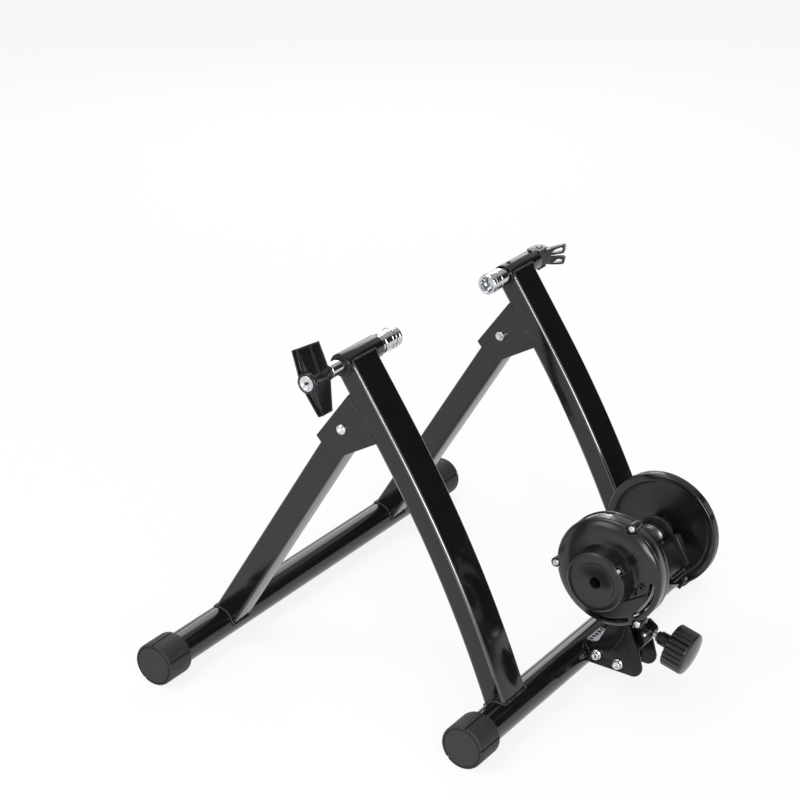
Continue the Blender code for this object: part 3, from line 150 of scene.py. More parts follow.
# %% World: soft all round, dim towards the far right
world = bpy.data.worlds.new("studio")
world.use_nodes = True
tree = world.node_tree
tree.nodes.clear()
direction = shader(tree, "TexCoord").outputs["Generated"]
toward = shader(tree, "VectorMath", {0: direction, 1: (0.58, 0.77, 0.10)}, operation="DOT_PRODUCT")
level = shader(
    tree,
    "MapRange",
    {"Value": toward.outputs["Value"], "From Min": 0.76, "From Max": 0.93, "To Min": 0.58, "To Max": 0.035},
    interpolation_type="SMOOTHSTEP",
)
background = shader(tree, "Background", {"Color": level.outputs["Result"], "Strength": 1.0})
shader(tree, "OutputWorld", {"Surface": background.outputs["Background"]})
bpy.context.scene.world = world


# %% Lamps
def lamp(name, place, aim, width, height, watts):
    """A soft lamp at a place, turned to a point it aims at."""
    data = bpy.data.lights.new(name, "AREA")
    data.shape = "RECTANGLE"
    data.size = width
    data.size_y = height
    data.energy = watts
    made = bpy.data.objects.new(name, data)
    made.location = place
    made.rotation_euler = (Vector(place) - Vector(aim)).to_track_quat("Z", "Y").to_euler()
    made.visible_camera = False
    bpy.context.scene.collection.objects.link(made)


lamp("front_lamp", (1.75, -1.75, 1.6), (0, 0, 0.2), 0.5, 0.5, 10)
lamp("edge_lamp", (1.60, -2.00, 0.74), (0, 0, 0.25), 1.9, 0.60, 34)
lamp("side_lamp", (-1.1, -2.4, 0.95), (0.1, 0, 0.2), 0.9, 0.7, 6)
lamp("top_lamp", (-0.6, -0.9, 2.1), (0.1, 0, 0.1), 1.3, 1.3, 18)
lamp("back_lamp", (-1.3, 1.7, 1.35), (0, 0, 0.1), 1.3, 1.7, 14)

# %% [markdown]
# The floor is nearly white in the picture without more light on the object: where a camera, glossy or
# transmission ray meets it, 85 percent of what it shows is plain white, and the rest is the real lit
# floor, which keeps a soft shadow under the feet.

# %% Floor
shape = bmesh.new()
bmesh.ops.create_grid(shape, x_segments=1, y_segments=1, size=9)
floor_mesh = bpy.data.meshes.new("floor")
shape.to_mesh(floor_mesh)
shape.free()
floor = bpy.data.objects.new("floor", floor_mesh)
bpy.context.scene.collection.objects.link(floor)
floor_paint = bpy.data.materials.new("floor")
floor_paint.use_nodes = True
tree = floor_paint.node_tree
lit = tree.nodes["Principled BSDF"]
lit.inputs["Base Color"].default_value = (0.9, 0.9, 0.9, 1)
lit.inputs["Roughness"].default_value = 0.9
lit.inputs["Specular IOR Level"].default_value = 0.1
ray = shader(tree, "LightPath").outputs
seen = shader(tree, "Math", {0: ray["Is Camera Ray"], 1: ray["Is Glossy Ray"]}, operation="ADD").outputs[0]
seen = shader(tree, "Math", {0: seen, 1: ray["Is Transmission Ray"]}, operation="ADD").outputs[0]
share = shader(tree, "Math", {0: seen, 1: 0.85}, operation="MULTIPLY", use_clamp=True).outputs[0]
white = shader(tree, "Emission", {"Color": (1, 1, 1, 1), "Strength": 1.0}).outputs[0]
both = shader(tree, "MixShader", {0: share, 1: lit.outputs[0], 2: white})
tree.links.new(both.outputs[0], tree.nodes["Material Output"].inputs["Surface"])
floor_mesh.materials.append(floor_paint)

# %% [markdown]
# ## Finishes
#
# One builder makes every finish, because they differ in numbers and not in kind. Each real surface has
# three things a flat colour lacks: a slow change of tone across the part, a roughness that wanders with
# handling and dust, and a fine relief that breaks up highlights. All three come from noise on Object
# coordinates, which are metres here, so a scale of 1000 gives marks a millimetre apart.


# %% The finish builder
def finish(name, colour, rough, metal=0.0, tone=(30, 0.12), wander=(60, 0.05), relief=(700, 4e-6), **own):
    """A Principled finish. tone and wander are (scale, amount), relief is (scale, height in m)."""
    material = bpy.data.materials.new(name)
    material.use_nodes = True
    tree = material.node_tree
    body = tree.nodes["Principled BSDF"]
    place = shader(tree, "TexCoord").outputs["Object"]
    stretch = own.pop("stretch", None)
    if stretch:
        place = shader(tree, "Mapping", {"Vector": place, "Scale": stretch}).outputs["Vector"]
    cloud = shader(tree, "TexNoise", {"Vector": place, "Scale": tone[0], "Detail": 4.0}).outputs["Fac"]
    spread = [
        tuple(max(0.0, part * (1 + way * tone[1])) for part in colour) + (1,) for way in (-1, 1)
    ]
    mix = shader(tree, "Mix", {"Factor": cloud, "A": spread[0], "B": spread[1]}, data_type="RGBA")
    for socket in mix.inputs:
        if socket.type == "RGBA" and socket.name in "AB":
            socket.default_value = spread["AB".index(socket.name)]
    tree.links.new(next(s for s in mix.outputs if s.type == "RGBA"), body.inputs["Base Color"])
    smear = shader(tree, "TexNoise", {"Vector": place, "Scale": wander[0], "Detail": 5.0}).outputs["Fac"]
    roughness = shader(
        tree,
        "MapRange",
        {
            "Value": smear,
            "From Min": 0.3,
            "From Max": 0.7,
            "To Min": max(0.02, rough - wander[1]),
            "To Max": rough + wander[1],
        },
    )
    tree.links.new(roughness.outputs["Result"], body.inputs["Roughness"])
    grain = shader(tree, "TexNoise", {"Vector": place, "Scale": relief[0], "Detail": 3.0}).outputs["Fac"]
    bump = shader(tree, "Bump", {"Height": grain, "Strength": 1.0, "Distance": relief[1]})
    tree.links.new(bump.outputs["Normal"], body.inputs["Normal"])
    body.inputs["Metallic"].default_value = metal
    for socket, value in own.items():
        body.inputs[socket.replace("_", " ")].default_value = value
    return material


# %% The finishes of this trainer
BLACK = (0.0055, 0.0055, 0.006)
EDGE_GLOSS = {"Specular_IOR_Level": 1.0, "Coat_Weight": 1.0, "Coat_Roughness": 0.06, "Coat_IOR": 1.7}
PAINT = finish("black_paint", BLACK, 0.12, tone=(18, 0.25), wander=(60, 0.04), relief=(420, 6e-6))
THIN_PAINT = finish("thin_edge_paint", BLACK, 0.12, tone=(18, 0.25), relief=(420, 6e-6), **EDGE_GLOSS)
PLATE_PAINT = finish(
    "plate_paint", (0.005, 0.005, 0.0055), 0.24, tone=(18, 0.25), relief=(420, 8e-6), Specular_IOR_Level=0.30
)
GLOSS = finish("gloss_plastic", (0.008, 0.008, 0.009), 0.20, tone=(40, 0.15), relief=(260, 6e-6))
BUSH = finish("black_bush", (0.010, 0.010, 0.011), 0.50)
RUBBER = finish("black_rubber", (0.015, 0.015, 0.0170), 0.62, tone=(60, 0.18), relief=(1800, 3e-5))
CHROME = finish(
    "chrome", (0.56, 0.57, 0.59), 0.10, 1.0, wander=(90, 0.04), relief=(420, 8e-5), stretch=(1, 0.03, 1)
)
SATIN = finish("satin_black", (0.010, 0.010, 0.011), 0.22, tone=(25, 0.2), relief=(600, 8e-6))
ZINC = finish("zinc_plate", (0.66, 0.68, 0.71), 0.27, 1.0, tone=(350, 0.12), relief=(900, 1e-5))
STEEL = finish("bare_steel", (0.56, 0.57, 0.59), 0.30, 1.0, tone=(80, 0.10), relief=(1500, 6e-6))
DULL_ZINC = finish("dull_zinc", (0.30, 0.31, 0.33), 0.42, 1.0, tone=(420, 0.30), relief=(1200, 1.5e-5))
SLOTS = {
    PAINT: "black_paint",
    GLOSS: "gloss_black_plastic",
    BUSH: "black_bush",
    RUBBER: "black_rubber",
    CHROME: "chrome",
    ZINC: "zinc_steel",
    STEEL: "bare_steel",
}
FINISH_OF = {slot: paint for paint, slot in SLOTS.items()}
SLOTS[DULL_ZINC] = "zinc_steel"
SLOTS[SATIN] = SLOTS[THIN_PAINT] = SLOTS[PLATE_PAINT] = "black_paint"
for subpart in frame["record"]["subparts"]:
    node = frame["nodes"][subpart["node"]]
    node.data.materials.clear()
    node.data.materials.append(FINISH_OF[subpart["material_slot"]])
print("finishes:", [material.name for material in SLOTS])


# %% [markdown]
# ## Shaping helpers
#
# Four ways of making cover nearly every part here. A *turned* part is a half outline spun round its
# axis, as on a lathe. A *plate* is a flat outline with rounded corners, given a thickness. A *tube* is a
# section drawn along a path. A *bead* of weld is a line with a rippled, sunken round section. Edges are
# then rounded by hair's breadths, since an edge with no radius catches no light.


# %% Turned parts, plates and softened edges
def turned(profile, steps=72):
    """Spins (radius, y) points round Y. A profile that never meets the axis closes into a ring."""
    shape = bmesh.new()
    points = [shape.verts.new((0, y, radius)) for radius, y in profile]
    edges = [shape.edges.new(pair) for pair in zip(points, points[1:])]
    if min(radius for radius, _ in profile) > 0:
        edges.append(shape.edges.new((points[-1], points[0])))
    bmesh.ops.spin(
        shape,
        geom=points + edges,
        cent=(0, 0, 0),
        axis=(0, 1, 0),
        angle=math.tau,
        steps=steps,
        use_merge=True,
    )
    bmesh.ops.remove_doubles(shape, verts=shape.verts, dist=1e-6)
    bmesh.ops.recalc_face_normals(shape, faces=shape.faces)
    return shape


def soften(shape, width, segments=2, angle=30):
    """Rounds every edge that turns by more than an angle."""
    limit = math.radians(angle)
    edges = [edge for edge in shape.edges if edge.is_manifold and edge.calc_face_angle() > limit]
    bmesh.ops.bevel(
        shape, geom=edges, offset=width, segments=segments, profile=0.5, affect="EDGES", material=-1
    )
    return shape


def plate(outline, low, high, corners=None):
    """Extrudes a flat XZ outline from y = low to high. corners rounds its corners by that radius."""
    shape = bmesh.new()
    face = shape.faces.new([shape.verts.new((x, low, z)) for x, z in outline])
    if corners:
        bmesh.ops.bevel(
            shape, geom=face.verts[:], offset=corners, segments=6, profile=0.5, affect="VERTICES", material=-1
        )
    grown = bmesh.ops.extrude_face_region(shape, geom=list(shape.faces))["geom"]
    tops = [part for part in grown if isinstance(part, bmesh.types.BMVert)]
    bmesh.ops.translate(shape, verts=tops, vec=(0, high - low, 0))
    bmesh.ops.recalc_face_normals(shape, faces=shape.faces)
    return shape


def placed(shape, matrix):
    """Moves or turns a shape by a matrix."""
    bmesh.ops.transform(shape, matrix=matrix, verts=shape.verts)
    return shape


def shifted(shape, point):
    """Moves a shape made on the origin to a point of the XZ plane."""
    return placed(shape, Matrix.Translation((point[0], 0, point[1])))


# %% Joining and carving shapes
def merged(*shapes):
    """Puts several closed shapes into one, where they touch or overlap without showing it."""
    whole = bmesh.new()
    for shape in shapes:
        mesh = bpy.data.meshes.new("part")
        shape.to_mesh(mesh)
        shape.free()
        whole.from_mesh(mesh)
        bpy.data.meshes.remove(mesh)
    return whole


def carved(shape, *cutters, operation="DIFFERENCE"):
    """Cuts closed shapes out of a shape, or joins them to it, with exact Booleans."""
    objects = []
    for part in (shape, *cutters):
        mesh = bpy.data.meshes.new("part")
        part.to_mesh(mesh)
        part.free()
        objects.append(bpy.data.objects.new("part", mesh))
        bpy.context.scene.collection.objects.link(objects[-1])
    for cutter in objects[1:]:
        modifier = objects[0].modifiers.new("cut", "BOOLEAN")
        modifier.operation = operation
        modifier.object = cutter
    result = bmesh.new()
    result.from_object(objects[0], bpy.context.evaluated_depsgraph_get())
    for part in objects:
        bpy.data.meshes.remove(part.data)
    return result


def hole(radius, low, high, point=(0, 0), steps=48):
    """A round cutter along Y at a point of the XZ plane."""
    return shifted(turned([(0, low), (radius, low), (radius, high), (0, high)], steps), point)


# %% From a shape to a finished piece
def piece(name, shape, material, body, *nodes, matrix=None, angle=38):
    """Makes the object, lets it ride on its CAD body and stand for the CAD nodes it replaces."""
    if matrix:
        placed(shape, matrix)
        if matrix.determinant() < 0:
            bmesh.ops.reverse_faces(shape, faces=shape.faces)
    mesh = bpy.data.meshes.new(name)
    shape.to_mesh(mesh)
    shape.free()
    mesh.materials.append(material)
    mesh.shade_smooth()
    mesh.set_sharp_from_angle(angle=math.radians(angle))
    made = bpy.data.objects.new(name, mesh)
    bpy.context.scene.collection.objects.link(made)
    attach(made, body)
    if nodes:
        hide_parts(*nodes)
    print(f"{name}: {len(mesh.polygons)} faces, rides on {body}")
    return made


SIDES = (("left", -1), ("right", 1))
MIRROR = Matrix.Scale(-1, 4, (0, 1, 0))


def on_side(point, y, side):
    """Places a shape made for the left side, mirrored where it goes to the right."""
    matrix = across(point, side * y)
    return matrix @ MIRROR if side > 0 else matrix


def both_ways(profile):
    """Half a turned profile with its mirror image added."""
    return profile + [(radius, -y) for radius, y in reversed(profile)]


# %% [markdown]
# ## Feet
#
# Both feet are round steel tubes, 37 mm across, that lie on soft rubber caps. The tube is a plain
# turned ring with its mouths hidden in the caps.


# %% Base tubes
def base_tube(name, half, point, body, node):
    """A plain steel tube, half being half its length."""
    inner = 0.0170
    shape = turned([(TUBE_RADIUS, -half), (TUBE_RADIUS, half), (inner, half), (inner, -half)], 96)
    return piece(name, shape, PAINT, body, node, matrix=across(point))


base_tube("front_foot_tube", 0.2927, FRONT_TUBE, "front_legs", "front_base_tube")
base_tube("rear_foot_tube", 0.2527, REAR_TUBE, "frame", "rear_base_tube")

# %% [markdown]
# The caps are moulded in soft black rubber: a round cup with five lengthwise slots, so that it can
# stretch over the tube, and a ring groove in its closed face. The slots are strips of the cup's own
# faces, pushed inwards. An extruded region keeps its old faces, so these are deleted afterwards.


# %% Rubber caps
CAP = mm([
    (0, 0), (20.5, 0), (20.8, 1.2), (21.6, 1.4), (22.2, 0.2), (23.2, 0.3), (24.1, 1), (24.5, 2.6), (24.5, 6),
    (24.5, 12), (24.5, 20), (24.5, 26.5), (24.5, 34.5), (24.1, 36.2), (22.8, 37.6), (21.6, 38), (18.8, 38),
    (18.8, 4), (0, 4),
])
SLOT_PITCH, SLOT_HALF, SLOT_DEPTH = 72, 3.9, 0.0017  # two angles in degrees and a depth


def foot_cap(name, point, end, side, first_slot, body, node):
    """A cap on a tube's end, first_slot being the angle of one of its slots."""
    shape = turned(CAP, 90)
    slots = []
    for face in shape.faces:
        middle = face.calc_center_median()
        step = math.degrees(math.atan2(middle.z, middle.x)) - first_slot
        beside = abs((step + SLOT_PITCH / 2) % SLOT_PITCH - SLOT_PITCH / 2)
        outside = math.hypot(middle.x, middle.z) > 0.0225 and 0.0001 < middle.y < 0.0375
        if outside and beside < SLOT_HALF:
            slots.append(face)
    grown = bmesh.ops.extrude_face_region(shape, geom=slots)["geom"]
    for vert in [part for part in grown if isinstance(part, bmesh.types.BMVert)]:
        scale = 1 - SLOT_DEPTH / math.hypot(vert.co.x, vert.co.z)
        vert.co.x *= scale
        vert.co.z *= scale
    bmesh.ops.delete(shape, geom=slots, context="FACES")
    bmesh.ops.recalc_face_normals(shape, faces=shape.faces)
    return piece(name, shape, RUBBER, body, node, matrix=on_side(point, end, side))


for word, side in SIDES:
    foot_cap(f"front_{word}_cap", FRONT_TUBE, 0.297, side, 20, "front_legs", f"front_foot_cap_{word}")
    foot_cap(f"rear_{word}_cap", REAR_TUBE, 0.257, side, 8, "frame", f"rear_foot_cap_{word}")

# %% [markdown]
# ## Uprights
#
# Each upright is one bent rectangular tube, 45 by 25 mm. Its section is a flat face with rounded
# corners, pushed along a path that runs straight for 91 mm below the clamp and then bends gently to the
# rear foot. Cutting it with both round tubes gives the saddles in which it is welded. Powder paint
# flows thin and very smooth round a tube's corners, which is why a bright line runs down each one, so
# the corner faces have a second, glossier finish.


# %% Tubes along a path
def frames_along(stations):
    """Matrices that put a section, made in X (thickness) and Y (width), on (point, lean) stations."""
    for point, lean in stations:
        thick = Vector((math.cos(lean), 0, math.sin(lean)))
        way = Vector((math.sin(lean), 0, -math.cos(lean)))
        matrix = Matrix((thick, (0, 1, 0), way)).transposed().to_4x4()
        matrix.translation = (point[0], 0, point[1])
        yield matrix


def box_tube(stations, thick, wide, corner):
    """Pushes a rounded rectangle along the stations."""
    shape = bmesh.new()
    bmesh.ops.create_grid(shape, x_segments=1, y_segments=1, size=0.5)
    bmesh.ops.scale(shape, verts=shape.verts, vec=(thick, wide, 1))
    bmesh.ops.bevel(
        shape, geom=shape.verts[:], offset=corner, segments=5, profile=0.5, affect="VERTICES", material=-1
    )
    frames = list(frames_along(stations))
    last = shape.verts[:]
    placed(shape, frames[0])
    for before, after in zip(frames, frames[1:]):
        end = [face for face in shape.faces if all(vert in last for vert in face.verts)]
        grown = bmesh.ops.extrude_face_region(shape, geom=end)["geom"]
        if before is not frames[0]:
            bmesh.ops.delete(shape, geom=end, context="FACES_ONLY")
        last = [part for part in grown if isinstance(part, bmesh.types.BMVert)]
        bmesh.ops.transform(shape, matrix=after @ before.inverted(), verts=last)
    bmesh.ops.recalc_face_normals(shape, faces=shape.faces)
    return shape


def upright_path(steps=28):
    """Straight under the clamp, then one arc to the rear tube's centre."""
    start = CLAMP + DOWN * 0.091
    chord = REAR_TUBE - start
    turn = 2 * (LEAN - math.atan2(chord.x, -chord.y))
    radius = chord.length / 2 / math.sin(turn / 2)
    centre = start - REARWARD * radius
    stations = [(CLAMP, LEAN), (CLAMP + DOWN * 0.0135, LEAN)]
    for i in range(steps + 1):
        lean = LEAN - turn * i / steps
        stations.append((centre + Vector((math.cos(lean), math.sin(lean))) * radius, lean))
    return stations


def thin_edges(made):
    """Gives the round corners of a box tube the thin, glossier paint of an edge."""
    made.data.materials.append(THIN_PAINT)
    for face in made.data.polygons:
        if 0.1 < abs(face.normal.y) < 0.99:
            face.material_index = 1


for word, side in SIDES:
    tube = box_tube(upright_path(), 0.025, 0.045, 0.0030)
    tube = carved(tube, hole(0.0121, -0.03, 0.03, CLAMP, 64), hole(TUBE_SADDLE, -0.03, 0.03, REAR_TUBE, 96))
    place = across((0, 0), side * UPRIGHT_Y)
    thin_edges(piece(f"{word}_upright_tube", tube, PAINT, "frame", f"upright_{word}", matrix=place))

# %% [markdown]
# ## Gussets and legs
#
# Each gusset is a channel of 3 mm steel folded round the upright's front. Its cheeks carry the bolt on
# which the square front leg folds. A cheek's outline is drawn from distances down the upright and out
# from its front face, which keeps it flush with the tube however that leans.


# %% Gussets
def on_upright(down, out):
    """A point measured down the upright from the clamp, and out from its front face."""
    return CLAMP + DOWN * down - REARWARD * (0.0125 + out)


def beside_upright(half, corners):
    """A plate with corners given on the upright, reaching half to each side."""
    return plate([on_upright(*corner) for corner in corners], -half, half)


cheek = mm([(31, 0.3), (54, 65.1), (84.7, 60.8), (89.4, 0.3), (89.4, -3.2), (31, -3.2)])
for word, side in SIDES:
    channel = carved(
        beside_upright(0.02268, cheek),
        beside_upright(0.0195, [(-0.05, 0.0033), (-0.05, 0.2), (0.2, 0.2), (0.2, 0.0033)]),
        beside_upright(0.02251, mm([(-50, 0.2), (-50, -50), (200, -50), (200, 0.2)])),
        hole(BOLT_HOLE, -0.05, 0.05, FOLD),
    )
    place = across((0, 0), side * UPRIGHT_Y)
    soften(channel, 0.00012, 1)
    piece(f"{word}_gusset_channel", channel, PAINT, "frame", f"gusset_{word}", matrix=place)

# %% [markdown]
# The legs are square tubes, 30 mm on a side. Their heads stay open, so the inside is carved out for as
# far as an eye can look in, and their feet are saddled on the front tube and welded.


# %% Legs
def leg_path(start, end):
    """Stations along a leg, measured from the fold bolt towards the front tube."""
    way = (FRONT_TUBE - FOLD).normalized()
    lean = math.atan2(way.x, -way.y)
    return [(FOLD + way * start, lean), (FOLD + way * end, lean)]


LEG_LENGTH = (FRONT_TUBE - FOLD).length
for word, side in SIDES:
    leg = box_tube(leg_path(-0.016, LEG_LENGTH), 0.030, 0.030, 0.0030)
    inside = box_tube(leg_path(-0.020, 0.060), 0.027, 0.027, 0.0015)
    leg = carved(leg, inside, hole(0.0083, -0.03, 0.03, FOLD), hole(TUBE_SADDLE, -0.03, 0.03, FRONT_TUBE, 96))
    place = across((0, 0), side * UPRIGHT_Y)
    piece(f"{word}_leg_tube", leg, PAINT, "front_legs", f"leg_{word}", matrix=place)

# %% [markdown]
# ## Welds
#
# A weld bead is a row of little overlapping puddles. Each bead here is a curve along the real joint
# line, with a round section that swells and shrinks every 3.4 mm and wanders a little, and it is sunk
# into both parts. Black paint over those ripples gives the broken glints that a plain edge can't.


# %% Round lines
def round_line(kind, points, shares, radius, resolution):
    """A closed tube round a POLY or BEZIER line, with a share of the radius at each point."""
    curve = bpy.data.curves.new("line", "CURVE")
    curve.dimensions = "3D"
    curve.bevel_depth = radius
    curve.bevel_resolution = resolution
    curve.use_fill_caps = True
    line = curve.splines.new(kind)
    knots = line.bezier_points if kind == "BEZIER" else line.points
    knots.add(len(points) - 1)
    for knot, point, share in zip(knots, points, shares):
        knot.radius = share
        if kind == "BEZIER":
            knot.co = point
            knot.handle_left_type = knot.handle_right_type = "AUTO"
        else:
            knot.co = (*point, 1)
    holder = bpy.data.objects.new("line", curve)
    bpy.context.scene.collection.objects.link(holder)
    mesh = bpy.data.meshes.new_from_object(holder.evaluated_get(bpy.context.evaluated_depsgraph_get()))
    bpy.data.objects.remove(holder)
    shape = bmesh.new()
    shape.from_mesh(mesh)
    bpy.data.meshes.remove(mesh)
    return shape


# %% Weld beads
BEAD_STEP, PUDDLE = 0.0004, 0.0034  # between a bead's points, and between its ripples


def bead(name, path, size, body, closed=False):
    """A rippled bead along a path of world points."""
    points = []
    whole = list(path) + ([path[0]] if closed else [])
    for start, end in zip(whole, whole[1:]):
        count = max(1, round((end - start).length / BEAD_STEP))
        points += [start.lerp(end, i / count) for i in range(count)]
    points.append(whole[-1])
    spots, shares = [], []
    for i, point in enumerate(points):
        step = i * BEAD_STEP
        wander = 0.00022 * math.sin(step * 1500) + 0.0002 * math.sin(step * 640 + 1)
        spots.append((point.x + wander, point.y, point.z + wander))
        ripple = abs(math.sin(step * math.pi / PUDDLE))
        shares.append(0.62 + 0.48 * ripple + 0.10 * math.sin(step * 510))
    return piece(name, round_line("POLY", spots, shares, size, 3), PAINT, body, angle=80)


def saddle(point, way_lean, thick, wide, corner, radius, y, sense):
    """The line where a rounded box tube stands on a round tube along Y."""
    normal = Vector((math.cos(way_lean), 0, math.sin(way_lean)))
    way = Vector((math.sin(way_lean), 0, -math.cos(way_lean))) * sense
    line = []
    for x_side, y_side, turn in ((1, 1, 0), (-1, 1, 90), (-1, -1, 180), (1, -1, 270)):
        for i in range(7):
            u, v = polar(corner, turn + 15 * i)
            line.append((x_side * (thick / 2 - corner) + u, y_side * (wide / 2 - corner) + v))
    fine = []
    for (u0, v0), (u1, v1) in zip(line, line[1:] + line[:1]):
        for i in range(6):
            u, v = u0 + (u1 - u0) * i / 6, v0 + (v1 - v0) * i / 6
            drop = math.sqrt(max(0.0, radius * radius - u * u))
            fine.append(Vector((point[0] + X0, y + v, point[1])) + normal * u - way * drop)
    return fine


for word, side in SIDES:
    y = side * UPRIGHT_Y
    foot = saddle(REAR_TUBE, upright_path()[-1][1], 0.0262, 0.0462, 0.003, 0.0186, y, 1)
    bead(f"{word}_foot_weld", foot, 0.0017, "frame", closed=True)
    head = saddle(CLAMP, LEAN, 0.0250, 0.0462, 0.003, 0.0126, y, -1)
    bead(f"{word}_barrel_weld", head, 0.0013, "frame", closed=True)
    leg_lean = leg_path(0, 1)[0][1]
    low = saddle(FRONT_TUBE, leg_lean, 0.0312, 0.0312, 0.003, 0.0186, y, 1)
    bead(f"{word}_leg_weld", low, 0.0016, "front_legs", closed=True)
    for part, start, end in (("top", 0.033, 0.049), ("low", 0.072, 0.087)):
        for edge in (-0.0226, 0.0226):
            ends = [on_upright(start, 0.0), on_upright(end, 0.0)]
            line = [Vector((p.x + X0, y + edge, p.y)) for p in ends]
            bead(f"{word}_gusset_weld_{part}_{'in' if edge * side < 0 else 'out'}", line, 0.0010, "frame")

# %% [markdown]
# ## Clamps
#
# A thick-walled barrel is welded across the top of each upright. A chrome spindle slides in it and ends
# in a cup. On the left a T-handle screws it home. On the right a cam lever pushes it in by 4 mm.


# %% Barrels and their bushes
def ring(outer, inner, low, high):
    """A plain bush or sleeve along Y, with rounded edges."""
    return soften(turned([(outer, low), (outer, high), (inner, high), (inner, low)]), 0.0005, 3)


LEFT_BARREL, RIGHT_BARREL = (-0.1895, -0.1253), (0.137, 0.205)
left_barrel = ring(0.0125, 0.0105, *LEFT_BARREL)
piece("left_clamp_barrel", left_barrel, PAINT, "frame", "barrel_left", matrix=across(CLAMP))
lugs = [plate(rectangle(-0.0018, 0.0115, 0.0018, 0.0142), y, y + 0.004) for y in (0.1475, 0.1960)]
right_barrel = merged(ring(0.0125, 0.0105, *RIGHT_BARREL), *(soften(lug, 0.0005) for lug in lugs))
piece("right_clamp_barrel", right_barrel, PAINT, "frame", "barrel_right", matrix=across(CLAMP))
for word, low, high in (("left", LEFT_BARREL[0], -0.1635), ("right", 0.179, RIGHT_BARREL[1])):
    bush = ring(0.0102, 0.0083, low, high)
    piece(f"{word}_barrel_bush", bush, BUSH, "frame", f"bush_{word}", matrix=across(CLAMP))

# %% [markdown]
# The cups are turned from bar and chromed: a plain sleeve over the spindle, a raised rim with a groove
# behind it, and a tapered mouth. Chrome has no colour of its own, so the crisp steps do the work.


# %% Spindles and cups
def clamp_cup():
    """A cup along +Y, from the end of its sleeve to its mouth."""
    flange, mouth, floor = 26, 36, 27
    return turned(mm([
        (10, -12), (10, 6.8), (10.8, 7), (11.3, 7.6), (11.3, 18), (10.7, 18.4), (10.7, 19.4), (11.3, 19.8),
        (11.3, flange - 1.2), (10.6, flange - 0.9), (10.6, flange), (11.5, flange), (11.9, flange + 0.5),
        (11.9, flange + 4), (10.9, flange + 4.5), (10.9, flange + 5.6), (11.5, flange + 6.1),
        (11.5, mouth - 0.8), (10.7, mouth), (9, mouth), (7.8, mouth - 1.4), (7, floor), (0, floor),
        (0, floor - 3), (8.3, floor - 3), (8.3, -12), (10, -12),
    ]), 96)


cups = {"left": across(CLAMP, LEFT_BARREL[1]), "right": across(CLAMP, RIGHT_BARREL[0]) @ MIRROR}
for word, place in cups.items():
    piece(f"{word}_axle_cup", clamp_cup(), CHROME, f"{word}_clamp", f"{word}_cup", matrix=place)
IN_CUP = 0.0237  # how far a spindle reaches past the barrel's end into its cup
left_neck = LEFT_BARREL[0] - 0.0229
start, end = left_neck + 0.0003, LEFT_BARREL[1] + IN_CUP
rod = [(0.0038, start), (0.0074, start), (0.008, left_neck + 0.0009), (0.008, end), (0, end)]
rod += [(0, -0.1954), (0.0038, -0.1954), (0.0038, start)]
piece("left_chrome_spindle", turned(rod, 96), CHROME, "left_screw", "left_spindle", matrix=across(CLAMP))
end = RIGHT_BARREL[0] - IN_CUP
rod = [(0, end), (0.008, end), (0.008, 0.2071), (0.0073, 0.2078), (0, 0.2078)]
piece("right_chrome_spindle", turned(rod, 96), CHROME, "right_clamp", "right_spindle", matrix=across(CLAMP))


# %% [markdown]
# The T-handle is moulded in one: a round hub and neck, and two wings that taper away from it. Each wing
# is a wedge whose broad faces are hollowed, which leaves a rim all round, as moulders do to keep thick
# plastic from sinking. The bolt that holds it sits in the hub's outer end.


# %% T-handle
def handle_wing(tip, slope, way, rib=None):
    """A tapering wing along way * Z with hollowed broad faces. rib is where a bar crosses the hollow."""
    back, reach, thick, thin = -0.0365, 0.0365, 0.0090, 0.0038
    shape = bmesh.new()
    rows = []
    root = ((back, 0), (back + 0.0310, 0))
    end = ((back + tip[0], reach), (back + tip[1], reach - slope))
    for (y, up), (far, far_up) in (root, end):
        near_half, far_half = (thick - (thick - thin) * height / reach for height in (up, far_up))
        corners = ((-near_half, y, up), (near_half, y, up), (far_half, far, far_up), (-far_half, far, far_up))
        rows.append(shape.faces.new([shape.verts.new((x, y, way * z)) for x, y, z in corners]))
    bmesh.ops.bridge_loops(shape, edges=[edge for row in rows for edge in row.edges])
    bmesh.ops.recalc_face_normals(shape, faces=shape.faces)
    if rib:
        (low_y, low_z), (high_y, high_z) = rib
        normal = Vector((0, high_z - low_z, low_y - high_y))
        whole = shape.verts[:] + shape.edges[:] + shape.faces[:]
        bmesh.ops.bisect_plane(shape, geom=whole, plane_co=(0, low_y, low_z), plane_no=normal)
    broad = [face for face in shape.faces if abs(face.normal.x) > 0.8]
    front = [face for face in shape.faces if face.normal.y < -0.8]
    bmesh.ops.inset_individual(shape, faces=broad, thickness=0.0015, depth=0.0, use_even_offset=True)
    for face in broad:
        bmesh.ops.translate(shape, verts=face.verts, vec=(-math.copysign(0.0012, face.normal.x), 0, 0))
    for margin in (0.0012, 0.0010):
        bmesh.ops.inset_individual(shape, faces=front, thickness=margin, depth=0.0, use_even_offset=True)
    for face in front:
        bmesh.ops.translate(shape, verts=face.verts, vec=(0, 0.0050, 0))
    return soften(shape, 0.0006, 3, 25)


